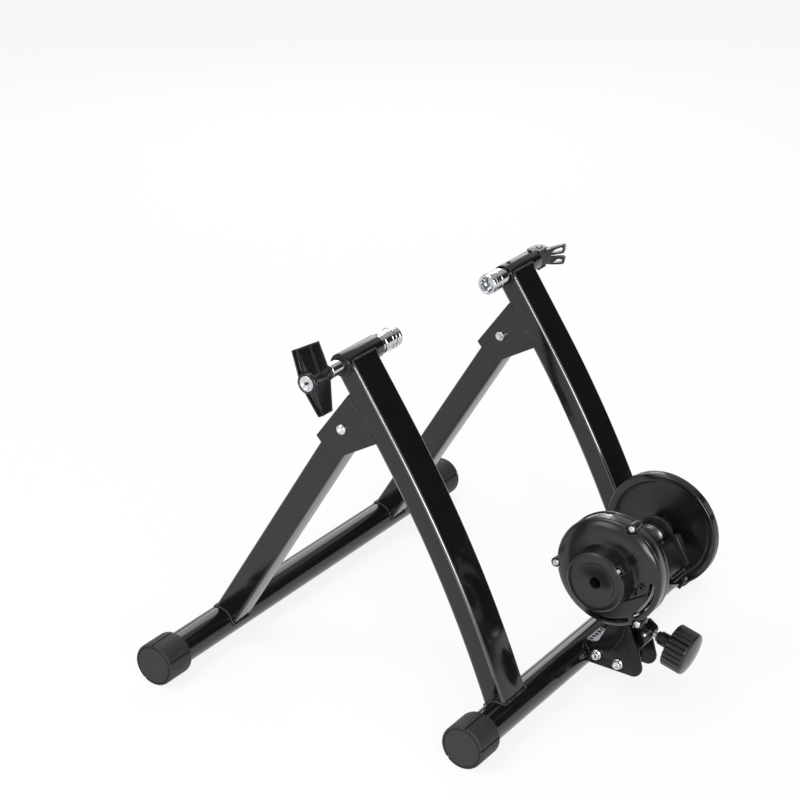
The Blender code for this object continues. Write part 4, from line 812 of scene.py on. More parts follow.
hub = mm([
    (4.1, -35), (8.8, -35), (8.8, -36.8), (9.2, -37.2), (10.2, -37.2), (11, -36.7), (11.6, -35.7),
    (11.6, -33.6), (11.2, -32.6), (9.2, -31.8), (8.6, -31), (8.6, -13), (9.2, -12), (9.2, -10.5),
    (8.5, -9.2), (8.5, -4.2), (8, -3.8), (8, -3), (8.5, -2.6), (8.5, -0.6), (7.9, 0), (4.1, 0),
])
handle = merged(
    turned(hub, 96),
    handle_wing((0.0022, 0.0391), 0.0034, 1, ((-0.0184, 0.010), (-0.0120, 0.0345))),
    handle_wing((0.0002, 0.0168), 0.0, -1),
)
HANDLE_TURN = Matrix.Rotation(-math.radians(27.5), 4, "Y")
place = across(CLAMP, left_neck) @ HANDLE_TURN
piece("moulded_t_handle", handle, GLOSS, "left_screw", "left_handle", matrix=place)

# %% [markdown]
# The bolt in the hub is a zinc-plated pan head with a hexagon socket.


# %% Bolts and nuts
def regular(sides, flats, phase=0.0):
    """Corners of a polygon, flats being the distance across it."""
    radius = flats / 2 / math.cos(math.pi / sides)
    angles = [math.tau * i / sides + phase for i in range(sides)]
    return [(radius * math.cos(angle), radius * math.sin(angle)) for angle in angles]


bolt = mm([
    (0, -36.4), (3, -36.4), (3.6, -36.8), (5, -36.4), (5.8, -36.5), (6.2, -37.3), (7.4, -37.4), (8.2, -37),
    (8.5, -36), (8.5, -35), (3.5, -35), (3.5, 15.1), (3, 15.5), (0, 15.5),
])
bolt = carved(turned(bolt, 64), plate(regular(6, 0.0050), -0.04, -0.0356))
soften(bolt, 0.0002, 1, 50)
piece("handle_bolt", bolt, ZINC, "left_screw", "left_handle_bolt", matrix=across(CLAMP, left_neck))


def hex_flange(radius, flats=0.0090, height=0.0050, flange=0.0059):
    """Head of a hexagon flange bolt from y = -height to 0, with its washer face chamfered."""
    head = plate(regular(6, flats, 0.3), -height, -0.0010)
    crown = [(0, -height), (flats * 0.46, -height), (flats * 0.585, -height + 0.0011), (flats * 0.6, 0.001)]
    head = carved(head, turned(crown + [(0, 0.001)], 48), operation="INTERSECT")
    washer = [(0, -0.0018), (flange * 0.82, -0.0018), (flange, -0.0007), (flange, 0), (radius, 0), (0, 0)]
    top, bottom = -height - 0.001, -height + 0.0007
    dimple = turned([(0, top), (flats * 0.22, top), (flats * 0.16, bottom), (0, bottom)], 32)
    return merged(soften(carved(head, dimple), 0.00012, 1), turned(washer, 64))


def thread(radius, low, high, pitch=0.001):
    """A rod with thread ridges as rings, which at this size look as a helix does."""
    profile = [(0, low), (radius * 0.85, low)]
    count = int((high - low) / pitch)
    for i in range(count):
        start = low + (high - low) * i / count
        for share, along in ((0.86, 0.1), (1, 0.5), (0.86, 0.9)):
            profile.append((radius * share, start + pitch * along))
    profile += [(radius * 0.85, high), (0, high)]
    return turned(profile, 32)


def hex_nut(flats, height, bore):
    """A nut from y = 0 to its height, with chamfered corners."""
    body = plate(regular(6, flats), 0, height)
    rim = flats * 0.58
    chamfer = [(0, 0), (flats * 0.5, 0), (rim, height * 0.12), (rim, height * 0.86), (flats * 0.48, height)]
    body = carved(body, turned(chamfer + [(0, height)], 48), operation="INTERSECT")
    return soften(carved(body, hole(bore, -0.01, height + 0.01)), 0.00012, 1)


# %% Fold bolts and nuts
for word, side in SIDES:
    turn = on_side(FOLD, UPRIGHT_Y, side)
    profile = mm([
        (0, -26.4), (3.4, -26.3), (4.9, -25.7), (5.7, -24.5), (6, -23.2), (6, -22.8), (3, -22.8), (3, 29),
        (2.6, 29.8), (0, 29.8),
    ])
    head = carved(turned(profile, 64), plate(regular(6, 0.0040), -0.03, -0.0247))
    piece(f"{word}_fold_screw", head, ZINC, "frame", f"fold_bolt_{word}", matrix=turn)
    nut = placed(hex_nut(0.010, 0.005, BOLT_HOLE), Matrix.Translation((0, 0.0228, 0)))
    piece(f"{word}_fold_lock_nut", nut, ZINC, "frame", f"fold_nut_{word}", matrix=turn)

# %% [markdown]
# ## Cam lever
#
# The right clamp closes with a forked lever, like a large quick release. Its hub is a cam: the nearer
# the lever comes to the tube's line, the further it pushes the spindle's end. From the hub two flat
# loops spread apart, one above the other, with slanted ends. Each loop is a plate with an opening.

# %% Lever, yoke and pin
PIN_Y = joints["lever_swing"]["pos_m"][1]


def upward(shape):
    """Turns a plate made along Y so that it stands along Z: X stays, and outline Z becomes Y."""
    placed(shape, Matrix(((1, 0, 0, 0), (0, 0, 1, 0), (0, 1, 0, 0), (0, 0, 0, 1))))
    bmesh.ops.reverse_faces(shape, faces=shape.faces)
    return shape


def cam_outline():
    """The cam's edge: each degree of swing pushes a flat face out by the same amount."""
    slope = 0.0040 / math.radians(90)
    points = []
    for i in range(-6, 25):
        swing = math.radians(90) * i / 21
        lift = 0.0112 - slope * swing
        out = Vector((-math.sin(swing), -math.cos(swing)))
        points.append(out * lift + Vector((-math.cos(swing), math.sin(swing))) * -slope)
    return points


angle = math.radians(34)  # between the lever at rest and the clamp line
along = Vector((math.sin(angle), math.cos(angle)))
aside = Vector((along.y, -along.x))
arm = [along * 0.004 - aside * 0.0078]
for reach, half in ((0.0110, 0.0062), (0.0135, 0.0050), (0.0142, 0.0036)):
    arm.append(along * reach - aside * half)
arm += [point - 2 * aside * point.dot(aside) for point in reversed(arm)]
cam = carved(upward(plate(cam_outline() + arm, -0.0088, 0.0088)), upward(hole(0.0028, -0.03, 0.03)))
LEVER_TURN = Matrix(((along.x, -aside.x, 0), (along.y, -aside.y, 0), (0, 0, 1))).to_4x4()


def prong(outline, opening):
    """One loop of the lever in millimetres: a plate with an opening, its end cut at a slant."""
    shape = carved(plate(mm(outline), -0.0037, 0.0037), plate(mm(opening), -0.01, 0.01))
    for vert in shape.verts:
        if vert.co.x > 0.0285:
            vert.co.x += 0.7 * vert.co.y
    return placed(soften(shape, 0.0007, 3, 35), LEVER_TURN)


upper = prong(
    [(3, 4), (9, 6.6), (16, 8.6), (24, 9.9), (30, 10.6), (33.4, 10.2), (34.3, 8.6), (34.3, 2.4), (33.4, 1),
     (29, 0.5), (22, 0.5), (3, 0.4)],
    [(14.6, 3.6), (18.5, 6.2), (24, 7.6), (29.4, 8.3), (31.3, 7.2), (31.3, 4.2), (29.6, 2.8), (24, 2.6),
     (17, 2.6)],
)
lower = prong(
    [(3, -0.4), (10, -0.6), (18, -1.4), (26, -2.8), (31, -4), (34, -5.2), (34.5, -6.8), (34, -11.2),
     (33, -12.3), (29.5, -12.6), (22, -12.2), (12, -10.8), (3, -8.6)],
    [(16, -9.6), (23, -5.6), (28.6, -6), (31.2, -7.4), (31.2, -9.2), (29.2, -10.3), (23, -10.3)],
)
lever = merged(soften(cam, 0.0008, 3, 35), upper, lower)
piece("forked_cam_lever", lever, PAINT, "cam_lever", "right_lever", matrix=across(CLAMP, PIN_Y))

base = RIGHT_BARREL[1] + 0.0003 - PIN_Y
yoke = [(-0.0085, base), (0.0085, base)] + arc((0, 0), 0.0085, 0, 180, 24)
yoke = upward(plate(yoke, -0.0116, 0.0116))
room = upward(plate(rectangle(-0.05, base + 0.0025, 0.05, 0.05), -0.0091, 0.0091))
yoke = carved(yoke, room, hole(0.0083, base - 0.01, base + 0.01), upward(hole(0.0028, -0.05, 0.05)))
on_pin = across(CLAMP, PIN_Y)
piece("lever_yoke_bracket", soften(yoke, 0.0004, 2, 40), PAINT, "frame", "lever_yoke", matrix=on_pin)
pin = mm([(0, 13.1), (2.8, 13.1), (3.8, 12.7), (4, 11.9), (2.5, 11.9)])
piece("cam_lever_pin", upward(turned(both_ways(pin), 48)), DULL_ZINC, "frame", "lever_pin", matrix=on_pin)

# %% [markdown]
# ## Unit mount
#
# Two pressed side plates are welded behind the rear tube, over a folded lug. On the real plates two
# curved creases run down towards the bolts, which stiffen the thin sheet. A crease is drawn here as a
# row of points with a low round section pushed along it, half sunk in the plate.


# %% Creases
def crease(points, half, proud):
    """A low rounded ridge along points of the XZ plane, proud of y = 0 towards -Y."""
    shares = [0.35] + [1.0] * (len(points) - 2) + [0.35]
    shape = round_line("BEZIER", [(x, 0, z) for x, z in points], shares, half, 5)
    bmesh.ops.scale(shape, verts=shape.verts, vec=(1, proud / half, 1))
    return shape


# %% Mount plates
FRONT_BOLT = REAR_TUBE + Vector((0.0264, 0.0049))
TRUNNION = PIVOT + Vector((0.0267, 0.0406))
LOBE = REAR_TUBE + Vector((0.0700, 0.0030))
PLATE_SADDLE = 0.0182  # radius of the round cut by which a plate sits on the rear tube
CREASES = (
    mm([(252.1, 72.9), (251.1, 65.4), (248.4, 58.5), (243.7, 50.4), (237.9, 41.9), (230.1, 33)]),
    mm([(256.3, 73.5), (259.2, 69), (260.6, 63.6), (260.3, 56.1), (259, 47.4), (258, 37.9), (257.6, 28.5)]),
)


def mount_plate():
    """The left plate, its outer face at y = 0 and its wall behind it."""
    outline = [(0.2070, 0.0177)] + arc(LOBE, 0.012, -100, 12, 20)
    outline += mm([
        (269.7, 46.6), (266.4, 55), (262.7, 62.5), (260.2, 69.5), (258, 74.5), (254, 78.5), (236.9, 78.5),
        (231.4, 69), (226, 58), (221.1, 47.8), (207, 37.5),
    ])
    sheet = carved(
        plate(outline, 0, 0.003),
        hole(PLATE_SADDLE, -0.01, 0.01, REAR_TUBE, 96),
        hole(BOLT_HOLE, -0.01, 0.01, FRONT_BOLT),
        hole(BOLT_HOLE, -0.01, 0.01, PIVOT),
    )
    soften(sheet, 0.0005, 2, 50)
    return merged(sheet, *(crease(points, 0.0012, 0.0008) for points in CREASES))


for word, side in SIDES:
    turn = on_side((0, 0), 0.0185, side)
    piece(f"{word}_mount_side", mount_plate(), PLATE_PAINT, "frame", f"mount_plate_{word}", matrix=turn)

for word, side in SIDES:
    spots = [Vector((x + X0, side * 0.0187, z)) for x, z in arc(REAR_TUBE, 0.0187, 48, -18, 24)]
    bead(f"{word}_mount_weld", spots, 0.0012, "frame")

# %% [markdown]
# The lug between the plates is a channel: a web against the tube and two cheeks. A narrower bracket
# stands on it and holds the trunnion, the cross pin through which the tension screw is threaded. A bar
# ties the bracket's two ears together over the screw.

# %% Lug with its ears
INNER, OUTER = 0.0122, 0.0152
EAR_INNER, EAR_OUTER = 0.0076, 0.0100
outline = mm([(205, 42), (218.3, 42), (241.8, 55), (254, 54), (264, 53.5), (269.5, 50)])
outline += arc(PIVOT, 0.0105, 20, -80, 12) + [(0.2143, 0.0165)]
cheeks = carved(
    plate(outline, -OUTER, OUTER),
    plate(rectangle(0.2153, -0.1, 0.4, 0.2), -INNER, INNER),
    hole(PLATE_SADDLE, -0.05, 0.05, REAR_TUBE, 96),
    hole(BOLT_HOLE, -0.05, 0.05, FRONT_BOLT),
    hole(BOLT_HOLE, -0.05, 0.05, PIVOT),
)
bracket = mm([(264.2, 50), (263.6, 60), (263.8, 71), (266.1, 75.2), (266.8, 76.6), (269.2, 76.6)])
bracket += arc(TRUNNION, 0.0064, 62, -52, 16)
room = mm([(260, 48), (260, 90), (266.2, 90), (266.2, 75.1), (290, 75.1), (290, 48)])
bracket = carved(
    plate(bracket + [(0.2722, 0.0540), (0.2690, 0.0500)], -EAR_OUTER, EAR_OUTER),
    plate(room, -EAR_INNER, EAR_INNER),
    plate(rectangle(0.2688, 0.07, 0.29, 0.09), -EAR_INNER, EAR_INNER),
)
shelf = plate(rectangle(0.2648, 0.0496, 0.2705, 0.0524), -OUTER + 0.0004, OUTER - 0.0004)
lug = merged(soften(cheeks, 0.0005, 2, 50), soften(bracket, 0.0008, 3, 50), soften(shelf, 0.0006, 2, 50))
piece("mount_lug_channel", lug, PAINT, "frame", "mount_lug", matrix=across((0, 0)))

# %% [markdown]
# A perforated strip of zinc-plated sheet lies across the lug, with five square holes. The two flange
# bolts go through both plates and the lug, and the rear one is also the pivot of the whole unit.

# %% Strip, bolts and nuts
strip = plate(rectangle(0.2050, 0.0423, 0.2175, 0.0438), -0.015, 0.015)
middles = [0.006 * (i - 2) for i in range(5)]
windows = [plate(rectangle(0.2068, 0.03, 0.2112, 0.06), y - 0.0022, y + 0.0022) for y in middles]
strip = soften(carved(strip, *windows), 0.0002, 1, 50)
piece("perforated_strip", strip, DULL_ZINC, "frame", "mount_strip", matrix=across((0, 0)))
for word, point in (("front", FRONT_BOLT), ("rear", PIVOT)):
    bolt = merged(hex_flange(0.003), thread(0.003, 0, 0.0435, 0.0009))
    piece(f"{word}_mount_screw", bolt, ZINC, "frame", f"mount_bolt_{word}", matrix=across(point, -0.0188))
    nut = hex_nut(0.010, 0.005, BOLT_HOLE)
    piece(f"{word}_mount_lock_nut", nut, ZINC, "frame", f"mount_nut_{word}", matrix=across(point, 0.0188))

# %% [markdown]
# ## Tension adjuster
#
# The knob turns a screw in the trunnion, and the screw's round nose pushes the neck of the unit, which
# tilts the roller forwards. Everything here lies round the screw, which slopes down by 15.7 degrees, so
# the parts are turned round Y as before and then laid on the slope by one matrix.

# %% The slope of the screw
SLOPE = math.radians(15.7)
SCREW_WAY = Vector((math.cos(SLOPE), -math.sin(SLOPE)))
SCREW_UP = Vector((math.sin(SLOPE), math.cos(SLOPE)))
ON_SCREW = across(TRUNNION) @ Matrix(
    ((0, SCREW_WAY.x, SCREW_WAY.y, 0), (1, 0, 0, 0), (0, SCREW_WAY.y, -SCREW_WAY.x, 0), (0, 0, 0, 1))
)

# %% Trunnion, screw and nose
pin = mm([
    (0, -11.2), (2.4, -11.2), (2.6, -11.8), (4.2, -11.8), (5, -11.2), (5, -10.1), (4.5, -10.1), (4.5, -7.5),
    (6.6, -7.5), (7, -7.1),
])
bore = hole(0.0043, -0.02, 0.02)
bore = placed(bore, Matrix.Rotation(SLOPE, 4, "Y") @ Matrix.Rotation(math.radians(90), 4, "Z"))
pin = soften(carved(turned(both_ways(pin), 64), bore), 0.00025, 1, 50)
piece("trunnion_pin", pin, PAINT, "frame", "trunnion", matrix=across(TRUNNION))
rivet = mm([(0, -11), (2.2, -11), (2.2, -11.8), (1.7, -12.4), (0.8, -12.7), (0, -12.7)])
for word, side in SIDES:
    turn = on_side(TRUNNION, 0, side)
    piece(f"{word}_trunnion_rivet", turned(rivet, 40), ZINC, "frame", matrix=turn)
screw = thread(0.004, -0.0185, 0.0345, 0.00125)
piece("tension_thread", screw, ZINC, "adjuster", "tension_screw", matrix=ON_SCREW)
reach = math.degrees(math.asin(0.0060 / 0.0065))
nose = [(-z, -x) for x, z in arc((0.0212 - 0.0065, 0), 0.0065, 0, -reach, 12)]
nose[0] = (0, -0.0212)
nose += mm([(6, -17), (5.7, -16.7), (4.3, -16.7), (4.3, -18.8), (0, -18.8)])
piece("screw_nose", turned(nose, 64), ZINC, "tip", "screw_tip", matrix=ON_SCREW)

# %% [markdown]
# The knob's grip has 24 narrow grooves, and every fourth one is deeper. Rings of points are drawn
# round the axis, pulled in where a groove is, and bridged from one ring to the next, which gives
# grooves that run out in the rounded end as they do on the real moulding.


# %% Knob
def grooved(sections, count=192, grooves=24):
    """Bridges rings of (y, radius, groove depth) round Y, and closes both ends."""
    shape = bmesh.new()
    rings = []
    for y, radius, depth in sections:
        verts = bmesh.ops.create_circle(shape, segments=count, radius=1.0)["verts"]
        rings.append(list({edge for vert in verts for edge in vert.link_edges}))
        for vert in verts:
            angle = math.atan2(vert.co.y, vert.co.x)
            wave = abs(math.cos(angle * grooves / 2))
            deep = 2 if abs(math.cos((angle - math.pi / grooves) * grooves / 8)) < 0.30 else 1
            pull = radius - depth * deep * (1 - wave) ** 2.4
            vert.co = (pull * math.sin(angle), y, pull * math.cos(angle))
    for low, high in zip(rings, rings[1:]):
        bmesh.ops.bridge_loops(shape, edges=low + high)
    for ring in (rings[0], rings[-1]):
        bmesh.ops.edgeloop_fill(shape, edges=ring)
    bmesh.ops.recalc_face_normals(shape, faces=shape.faces)
    return shape


neck = mm([
    (10.8, 5.2, 0), (11, 6, 0), (13.6, 6.2, 0), (14, 7, 0), (14.6, 7.7, 0), (26.2, 7.9, 0), (27.4, 8.4, 0),
    (28.1, 10, 0), (28.3, 12, 0),
])
grip = mm([
    (28.3, 22, 1), (28.5, 23.6, 1.4), (29, 24.2, 1.6), (29.8, 24.5, 1.8), (39, 24.5, 1.8), (49, 24.5, 1.8),
    (50.5, 24.5, 1.7), (51, 24.5, 0.8),
])
dome = mm([
    (51.3, 24.4, 0.2), (52, 24.1, 0), (52.9, 23.3, 0), (53.7, 22, 0), (54.3, 19.7, 0), (55, 16.6, 0),
    (55.7, 12.6, 0), (56.3, 8, 0), (56.6, 3, 0),
])
knob = grooved(neck + grip + dome)
piece("fluted_knob", knob, GLOSS, "adjuster", "knob", matrix=ON_SCREW, angle=55)

# %% [markdown]
# ## Cradle
#
# One folded sheet carries the roller: a channel-shaped neck up from the pivot, a sloping web plate and
# an arm at each end with the bearing in a round boss. The arms are dished, so a slim rim runs round
# each of them, and the right one has a wider rim and a lip towards the flywheel. The pieces of sheet
# run into each other, so they are made apart and put together.


# %% Cradle
def on_neck(along, up):
    """A point of the XZ plane measured from the pivot, along the screw's way and square to it."""
    return PIVOT + SCREW_WAY * along + SCREW_UP * up


def beside_neck(half, corners):
    """A plate with corners given on the neck, reaching half to each side."""
    return plate([on_neck(*corner) for corner in corners], -half, half)


WALL, FRONT = -0.00678, -0.02358
sheet = [(FRONT, 0.038), (FRONT, 0.100), (WALL - 0.0068, 0.1215), (WALL + 0.0077, 0.1290)]
sheet += [(WALL + 0.0087, 0.1235), (WALL, 0.1160), (WALL, 0.0190)] + arc((0, 0), 0.010, 62, -242, 32)
neck = carved(
    beside_neck(0.0119, sheet),
    beside_neck(0.0089, [(WALL - 0.003, -0.1), (WALL - 0.003, 0.118), (-0.1, 0.118), (-0.1, -0.1)]),
    beside_neck(0.0089, [(-0.1, 0.024), (0.1, 0.024), (0.1, -0.1), (-0.1, -0.1)]),
    hole(BOLT_HOLE, -0.05, 0.05, PIVOT),
)
soften(neck, 0.0009, 3, 40)

WEB_TOP = ROLLER + Vector((0.0242, 0.0065))
WEB_LOW = ROLLER + Vector((0.0407, -0.0230))
WEB_DOWN = (WEB_LOW - WEB_TOP).normalized()
INWARD = Vector((WEB_DOWN.y, -WEB_DOWN.x))
fold = WEB_TOP + WEB_DOWN * 0.0062
web = [fold, WEB_LOW, WEB_LOW + INWARD * 0.003, fold + INWARD * 0.003]
web += [WEB_TOP + INWARD * 0.0062, WEB_TOP + INWARD * 0.0034]
web = soften(plate(web, -0.0424, 0.0424), 0.0009, 3)


def arm(low, high):
    """A bearing arm from y = low to high, dished on both faces inside a slim rim."""
    margin = 0.00105  # by which the arm stands out past the web
    corner = WEB_LOW + WEB_DOWN * margin
    outline = arc(ROLLER, 0.0195, 60, 260, 48)
    outline += [corner + INWARD * 0.006, corner - INWARD * margin, WEB_TOP - INWARD * margin]
    shape = plate(outline, low, high)
    broad = [face for face in shape.faces if abs(face.normal.y) > 0.9]
    bmesh.ops.inset_individual(shape, faces=broad, thickness=0.0016, depth=-0.0007, use_even_offset=True)
    soften(shape, 0.0006, 2, 35)
    low_face, high_face = low - 0.0002, high + 0.0002
    boss = [(0.0133, low_face), (0.0156, low_face), (0.0156, high_face), (0.0133, high_face)]
    boss = soften(turned(boss, 96), 0.0004, 2)
    shape = carved(shape, hole(0.0134, low - 0.01, high + 0.01, ROLLER, 96))
    return merged(shape, shifted(boss, ROLLER))


rim = mm([
    (17, 42.5), (19, 42.5), (19, 46.2), (19.3, 47), (20.4, 48.2), (20.6, 48.8), (20.6, 50), (20.2, 50.5),
    (17.8, 50.5), (17.4, 50.1),
])
rim = shifted(turned(rim, 128), ROLLER)
lip = [WEB_TOP - INWARD * 0.0030 + WEB_DOWN * 0.0010, WEB_LOW - INWARD * 0.0030 + WEB_DOWN * 0.0008]
lip += [WEB_LOW + INWARD * 0.0010 + WEB_DOWN * 0.0008, WEB_TOP + INWARD * 0.0010 - WEB_DOWN * 0.0010]
lip = soften(plate(lip, 0.0420, 0.0510), 0.0009, 3)
cradle = merged(neck, web, arm(-0.043, -0.039), arm(0.039, 0.043), rim, lip)
piece("folded_cradle", cradle, SATIN, "unit", "cradle", matrix=across((0, 0)))

# %% [markdown]
# A hook of thick black wire lies along the web's lower edge, bent back on itself, with a small plate
# clipped on it. The wire is a curve's own round bevel along a path of straight runs and a tight turn.


# %% Wire hook and its plate
EDGE = WEB_LOW + INWARD * 0.0015


def under_web(y, out):
    """A world point beside the web's lower edge: y across, out below it."""
    spot = EDGE + WEB_DOWN * out
    return Vector((spot.x + X0, y, spot.y))


path = mm([(8, 0), (8, 1.2), (9.4, 2.6), (34.5, 2.6)])
path += arc((0.0345, 0.0048), 0.0022, -75, 75, 10) + [(0.0345, 0.0070), (0.0080, 0.0070)]
hook = round_line("POLY", [under_web(*at) for at in path], [1.0] * len(path), 0.0014, 5)
piece("wire_hook", hook, PAINT, "unit", "wire_loop", angle=60)

outline = mm([
    (12.5, 16), (14, 17.8), (26, 14.8), (33.5, 15), (34, 8.5), (31.5, 7), (26.2, 7.8), (25.8, 10.8),
    (20, 12.8),
])
clip = plate(outline, -0.0012, 0.0012)
to_web = Matrix(((0, 0, WEB_DOWN.x), (1, 0, 0), (0, 0, WEB_DOWN.y))).to_4x4()
to_web[0][1], to_web[2][1] = INWARD
to_web.translation = (EDGE.x + X0, 0, EDGE.y)
clip = placed(soften(clip, 0.0004, 2, 40), to_web)
bmesh.ops.recalc_face_normals(clip, faces=clip.faces)
piece("hook_plate", clip, PAINT, "unit")

# %% [markdown]
# ## Roller and bearings
#
# The roller is turned steel, ground smooth in its middle and grooved behind a lip at each end. Turning
# leaves fine rings, so its finish stretches the noise far along Y: the roughness then changes from ring
# to ring and stays the same all the way round, which draws the highlight out as on a lathe-turned part.

# %% A finish with lathe rings
LATHE = {"metal": 1.0, "tone": (60, 0.14), "stretch": (1, 40, 1)}
TURNED = finish("turned_steel", (0.60, 0.61, 0.63), 0.20, wander=(25, 0.10), relief=(40, 6e-6), **LATHE)
# The roller's turned steel is given a much darker grey colour than the bearings and shaft.
DARK_TURNED = finish(
    "dark_grey_turned_steel", (0.17, 0.17, 0.185), 0.24, wander=(25, 0.06), relief=(40, 5e-6), **LATHE
)
SLOTS[TURNED] = SLOTS[DARK_TURNED] = "bare_steel"

# %% Bearings, shaft and roller
ball_race = mm([
    (5.3, -4), (7.5, -4), (7.7, -3.6), (7.9, -3.4), (10.6, -3.4), (10.8, -3.6), (11, -4), (12.6, -4),
    (13, -3.6),
])
for word, side in SIDES:
    race = turned(both_ways(ball_race), 96)
    place = across(ROLLER, side * 0.041)
    piece(f"{word}_ball_bearing", race, TURNED, "unit", f"bearing_{word}", matrix=place)

shaft = mm([(0, -57), (4.5, -57), (5, -56.5), (5, 71.5), (4.5, 72), (0, 72)])
piece("ground_shaft", turned(shaft, 64), TURNED, "spinner", "roller_shaft", matrix=across(ROLLER))
drum = mm([
    (5.3, -36.6), (14, -36.6), (14.6, -36.3), (15.8, -35.4), (16.1, -35), (16.1, -33.6), (15.8, -33.3),
    (14.6, -32.8), (14.2, -32.4), (14.2, -31.4), (14.5, -31), (15.4, -30.3), (15.5, -29.9), (15.5, -28.8),
    (15.2, -28.5), (15, -28), (15, 0),
])
drum += [(radius, -y) for radius, y in reversed(drum[:-1])]
piece("steel_roller", turned(drum, 128), DARK_TURNED, "spinner", "roller", matrix=across(ROLLER))

# %% [markdown]
# ## Brake
#
# Inside the cover a steel drum spins past a ring of magnets, which is what makes the resistance. Only
# glimpses of both show through the slots, but those glimpses are bright, so they are turned properly.

# %% Rotor, magnet ring and back plate
rotor = mm([
    (5.3, -45.3), (10, -45.3), (10, -50), (55.5, -50), (55.5, -47.2), (55.7, -47), (57.5, -47),
    (57.7, -47.2), (57.7, -53.6), (57.3, -54), (54.1, -54), (53.7, -53.8), (51.7, -52), (10, -52),
    (10, -56), (5.3, -56),
])
piece("turned_rotor", turned(rotor, 144), TURNED, "spinner", "brake_rotor", matrix=across(ROLLER))

ring_plate = mm([
    (8.3, -66.4), (11.3, -66.4), (11.3, -60.4), (52.6, -60.4), (53, -60), (53, -57.4), (52.6, -57),
    (8.3, -57),
])
piece("magnet_ring", turned(ring_plate, 128), TURNED, "magnets", "magnet_plate", matrix=across(ROLLER))
back = mm([(13.3, -46.3), (58.6, -46.3), (59, -45.9), (59, -43.7), (58.6, -43.3), (13.3, -43.3)])
piece("pressed_back_plate", turned(back, 144), ZINC, "unit", "brake_backplate", matrix=across(ROLLER))

# %% [markdown]
# The cover is one black moulding: a rounded drum, a tall round boss, three screw ears, two curved
# slots, a raised block beside the boss and a window on top. The round form is turned in one outline
# that runs up the outside and back down the inside, so the wall has its thickness. Then the slots and
# the window are cut out, which leaves the clean square edges a mould makes.


# %% Brake cover
def arc_slot(radius, width, start, end, low, high):
    """A curved slot cutter with round ends, in degrees about the roller."""
    outline = arc((0, 0), radius + width / 2, start, end, 24)
    for angle, turn in ((end, 0), (start, 180)):
        outline += arc(polar(radius, angle), width / 2, angle + turn, angle + turn + 180, 10)[1:-1]
        if turn == 0:
            outline += arc((0, 0), radius - width / 2, end, start, 24)
    return plate(outline, low, high)


EARS, EAR_REACH = (66, 185, -54), 0.0629
CROWN, BOSS_FACE = -0.0682, -0.0915
cover = mm([
    (61.5, -41.5), (61.5, -46.5), (61.3, -46.8), (61.3, -47.6), (61.5, -47.9), (61.5, -58.2), (61.2, -58.5),
    (61.2, -59.2), (61.6, -59.6), (61.6, -60.6), (61.3, -61.6), (60.6, -62.5), (59.4, -63.4), (57.5, -64.4),
    (54.8, -65.5), (51.2, -66.6), (47.2, -67.4), (42.8, -68), (38.5, -68.3), (35.7, -68.5), (34.8, -68.8),
    (34.3, -70), (33.9, -72), (33.1, -88), (33, -89.8), (32.7, -90.7), (32, -91.3), (30.8, -91.5),
    (23.2, -91.5), (22.8, -91.4), (22.2, -91.2), (21.8, -91.1), (7, -91.1), (6.6, -90.9), (6.5, -90.4),
    (6.4, -87), (6.2, -86), (6.2, -57.5), (8, -57.5), (8, -86), (30.5, -88), (31.8, -66.4), (38.5, -66.2),
    (46, -65.5), (53, -63.7), (57.5, -61.6), (59, -59), (59.3, -41.5),
])
drum = turned(cover, 180)
window = [(0.0, 0.0)] + arc((0, 0), 0.080, 93, 131, 12)
drum = carved(
    drum,
    arc_slot(0.0535, 0.0058, -108, -62, -0.08, -0.055),
    arc_slot(0.0532, 0.0062, -48, 0, -0.08, -0.055),
    *(hole(0.0063, -0.08, -0.0585, polar(EAR_REACH, degrees)) for degrees in EARS),
    carved(plate(window, -0.0590, -0.0440), hole(0.0560, -0.1, 0.1, (0, 0), 96)),
)
soften(drum, 0.0005, 2, 62)

ear = mm([
    (4, -47), (4.6, -47), (5, -48), (5.4, -56), (5.6, -61.6), (5.3, -62.7), (4.8, -63), (4.6, -62.8),
    (4.6, -60.4), (4, -60.4),
])
screw = mm([(0, -60.1), (3.7, -60.6), (3.8, -62.1), (3.5, -63.1), (2.6, -63.7), (1.2, -64), (0, -64)])
parts = [drum]
for number, degrees in enumerate(EARS, 1):
    spot = polar(EAR_REACH, degrees)
    parts.append(shifted(turned(ear, 48), spot))
    cross = [
        plate(rectangle(-x, -z, x, z), -0.07, -0.0630) for x, z in ((0.0024, 0.0004), (0.0004, 0.0024))
    ]
    head = soften(carved(turned(screw, 48), *cross), 0.0001, 1, 50)
    piece(f"cover_screw_{number}", shifted(head, spot), ZINC, "unit", matrix=across(ROLLER))

# %% [markdown]
# The raised block beside the boss, the square cable clamp and the little tab on the boss are plates
# with softened edges. They are sunk a little into the drum, so that no gap shows.

# %% Block, clamp and tab on the cover
block = arc((0, 0), 0.0336, -112, -46, 20) + arc((0, 0), 0.0492, -12, -22, 4)
block += arc((0, 0), 0.0488, -30, -104, 22)
parts.append(soften(plate(block, CROWN - 0.0020, CROWN + 0.0035), 0.0010, 4, 40))
clamp = plate(rectangle(-0.0030, -0.0030, 0.0030, 0.0030), CROWN - 0.0030, CROWN + 0.003)
clamp = carved(clamp, hole(0.0016, -0.1, CROWN + 0.001, (0, 0), 24))
turn = Matrix.Rotation(math.radians(25), 4, "Y")
parts.append(placed(soften(clamp, 0.0005, 3), Matrix.Translation((0.0430, 0, -0.0022)) @ turn))
arch = soften(turned(mm([(2.2, -1.2), (3.6, -1.2), (3.6, 1.2), (2.2, 1.2)]), 48), 0.0003, 2)
turn = Matrix.Translation((0.0362, -0.0695, -0.0100)) @ Matrix.Rotation(math.radians(65), 4, "Z")
parts.append(placed(arch, turn))
x, z = polar(0.0345, 38)
turn = Matrix.Translation((x, 0, z)) @ Matrix.Rotation(-math.radians(38), 4, "Y")
tab = rectangle(-0.0055, -0.0055, 0.0052, 0.0055)
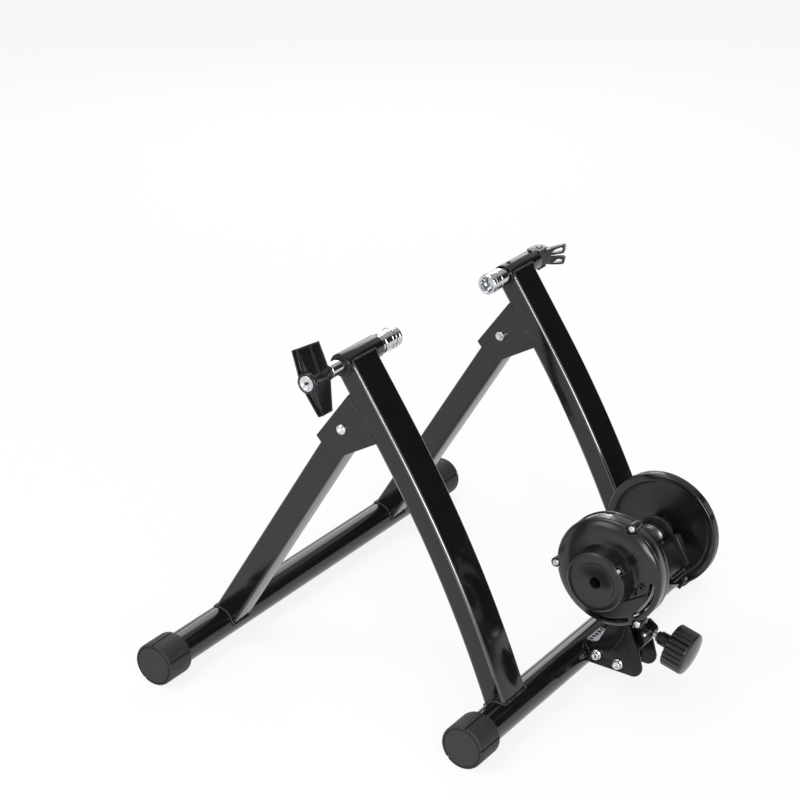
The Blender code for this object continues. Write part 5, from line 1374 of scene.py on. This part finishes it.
tab = plate(tab, BOSS_FACE - 0.0003, BOSS_FACE + 0.013, corners=0.0010)
tab = carved(tab, plate(rectangle(-0.0042, -0.0042, 0.0040, 0.0042), -0.2, BOSS_FACE + 0.0055))
parts.append(placed(soften(tab, 0.0005, 3, 50), turn))
piece("moulded_brake_cover", merged(*parts), GLOSS, "unit", "brake_cover", matrix=across(ROLLER), angle=42)
tip = [(0, 6), (2.5, 6), (2.5, 0.8), (2.1, 0), (1.4, 0), (1, 0.6), (1, 2.2), (0, 2.2)]
tip = [(radius, BOSS_FACE + depth) for radius, depth in mm(tip)]
piece("boss_tab_screw", turned(tip, 48), ZINC, "unit", matrix=across(ROLLER) @ turn)

# %% [markdown]
# ## Flywheel
#
# The flywheel is a casting: black and slightly rough in its dish, with a smoother painted rim that has
# turned grooves. It is one outline spun round the shaft, and a second finish goes on the rim's faces.

# %% Flywheel and its nut
CAST = finish(
    "cast_black", (0.004, 0.004, 0.0045), 0.26, tone=(60, 0.2), wander=(80, 0.04), relief=(700, 5e-6)
)
SLOTS[CAST] = "black_paint"
wheel = mm([
    (5.3, 45.3), (10.5, 45.3), (12.8, 46.8), (13, 48), (13, 61.5), (13.6, 62.6), (15, 63), (53, 63),
    (54.8, 62.6), (56, 61.2), (56.6, 59), (57.2, 58.2), (58, 58), (64, 58), (65, 58.4), (65.5, 59.2),
    (65.5, 61.2), (65.2, 61.4), (65.2, 62), (65.5, 62.2), (65.5, 65.2), (65.2, 65.4), (65.2, 66),
    (65.5, 66.2), (65.5, 68.8), (65, 69.6), (64, 70), (58.2, 70), (57.2, 69.7), (56.6, 68.8), (56, 67.4),
    (54.8, 66.8), (5.3, 66.8),
])
flywheel = piece("cast_flywheel", turned(wheel, 180), CAST, "spinner", "flywheel", matrix=across(ROLLER))
flywheel.data.materials.append(PAINT)
for face in flywheel.data.polygons:
    spot = Vector((face.center.x - X0, face.center.z)) - ROLLER
    if spot.length > 0.0545:
        face.material_index = 1
nut = hex_nut(0.015, 0.005, 0.0053)
piece("flywheel_lock_nut", nut, ZINC, "spinner", "flywheel_nut", matrix=across(ROLLER, 0.0671))
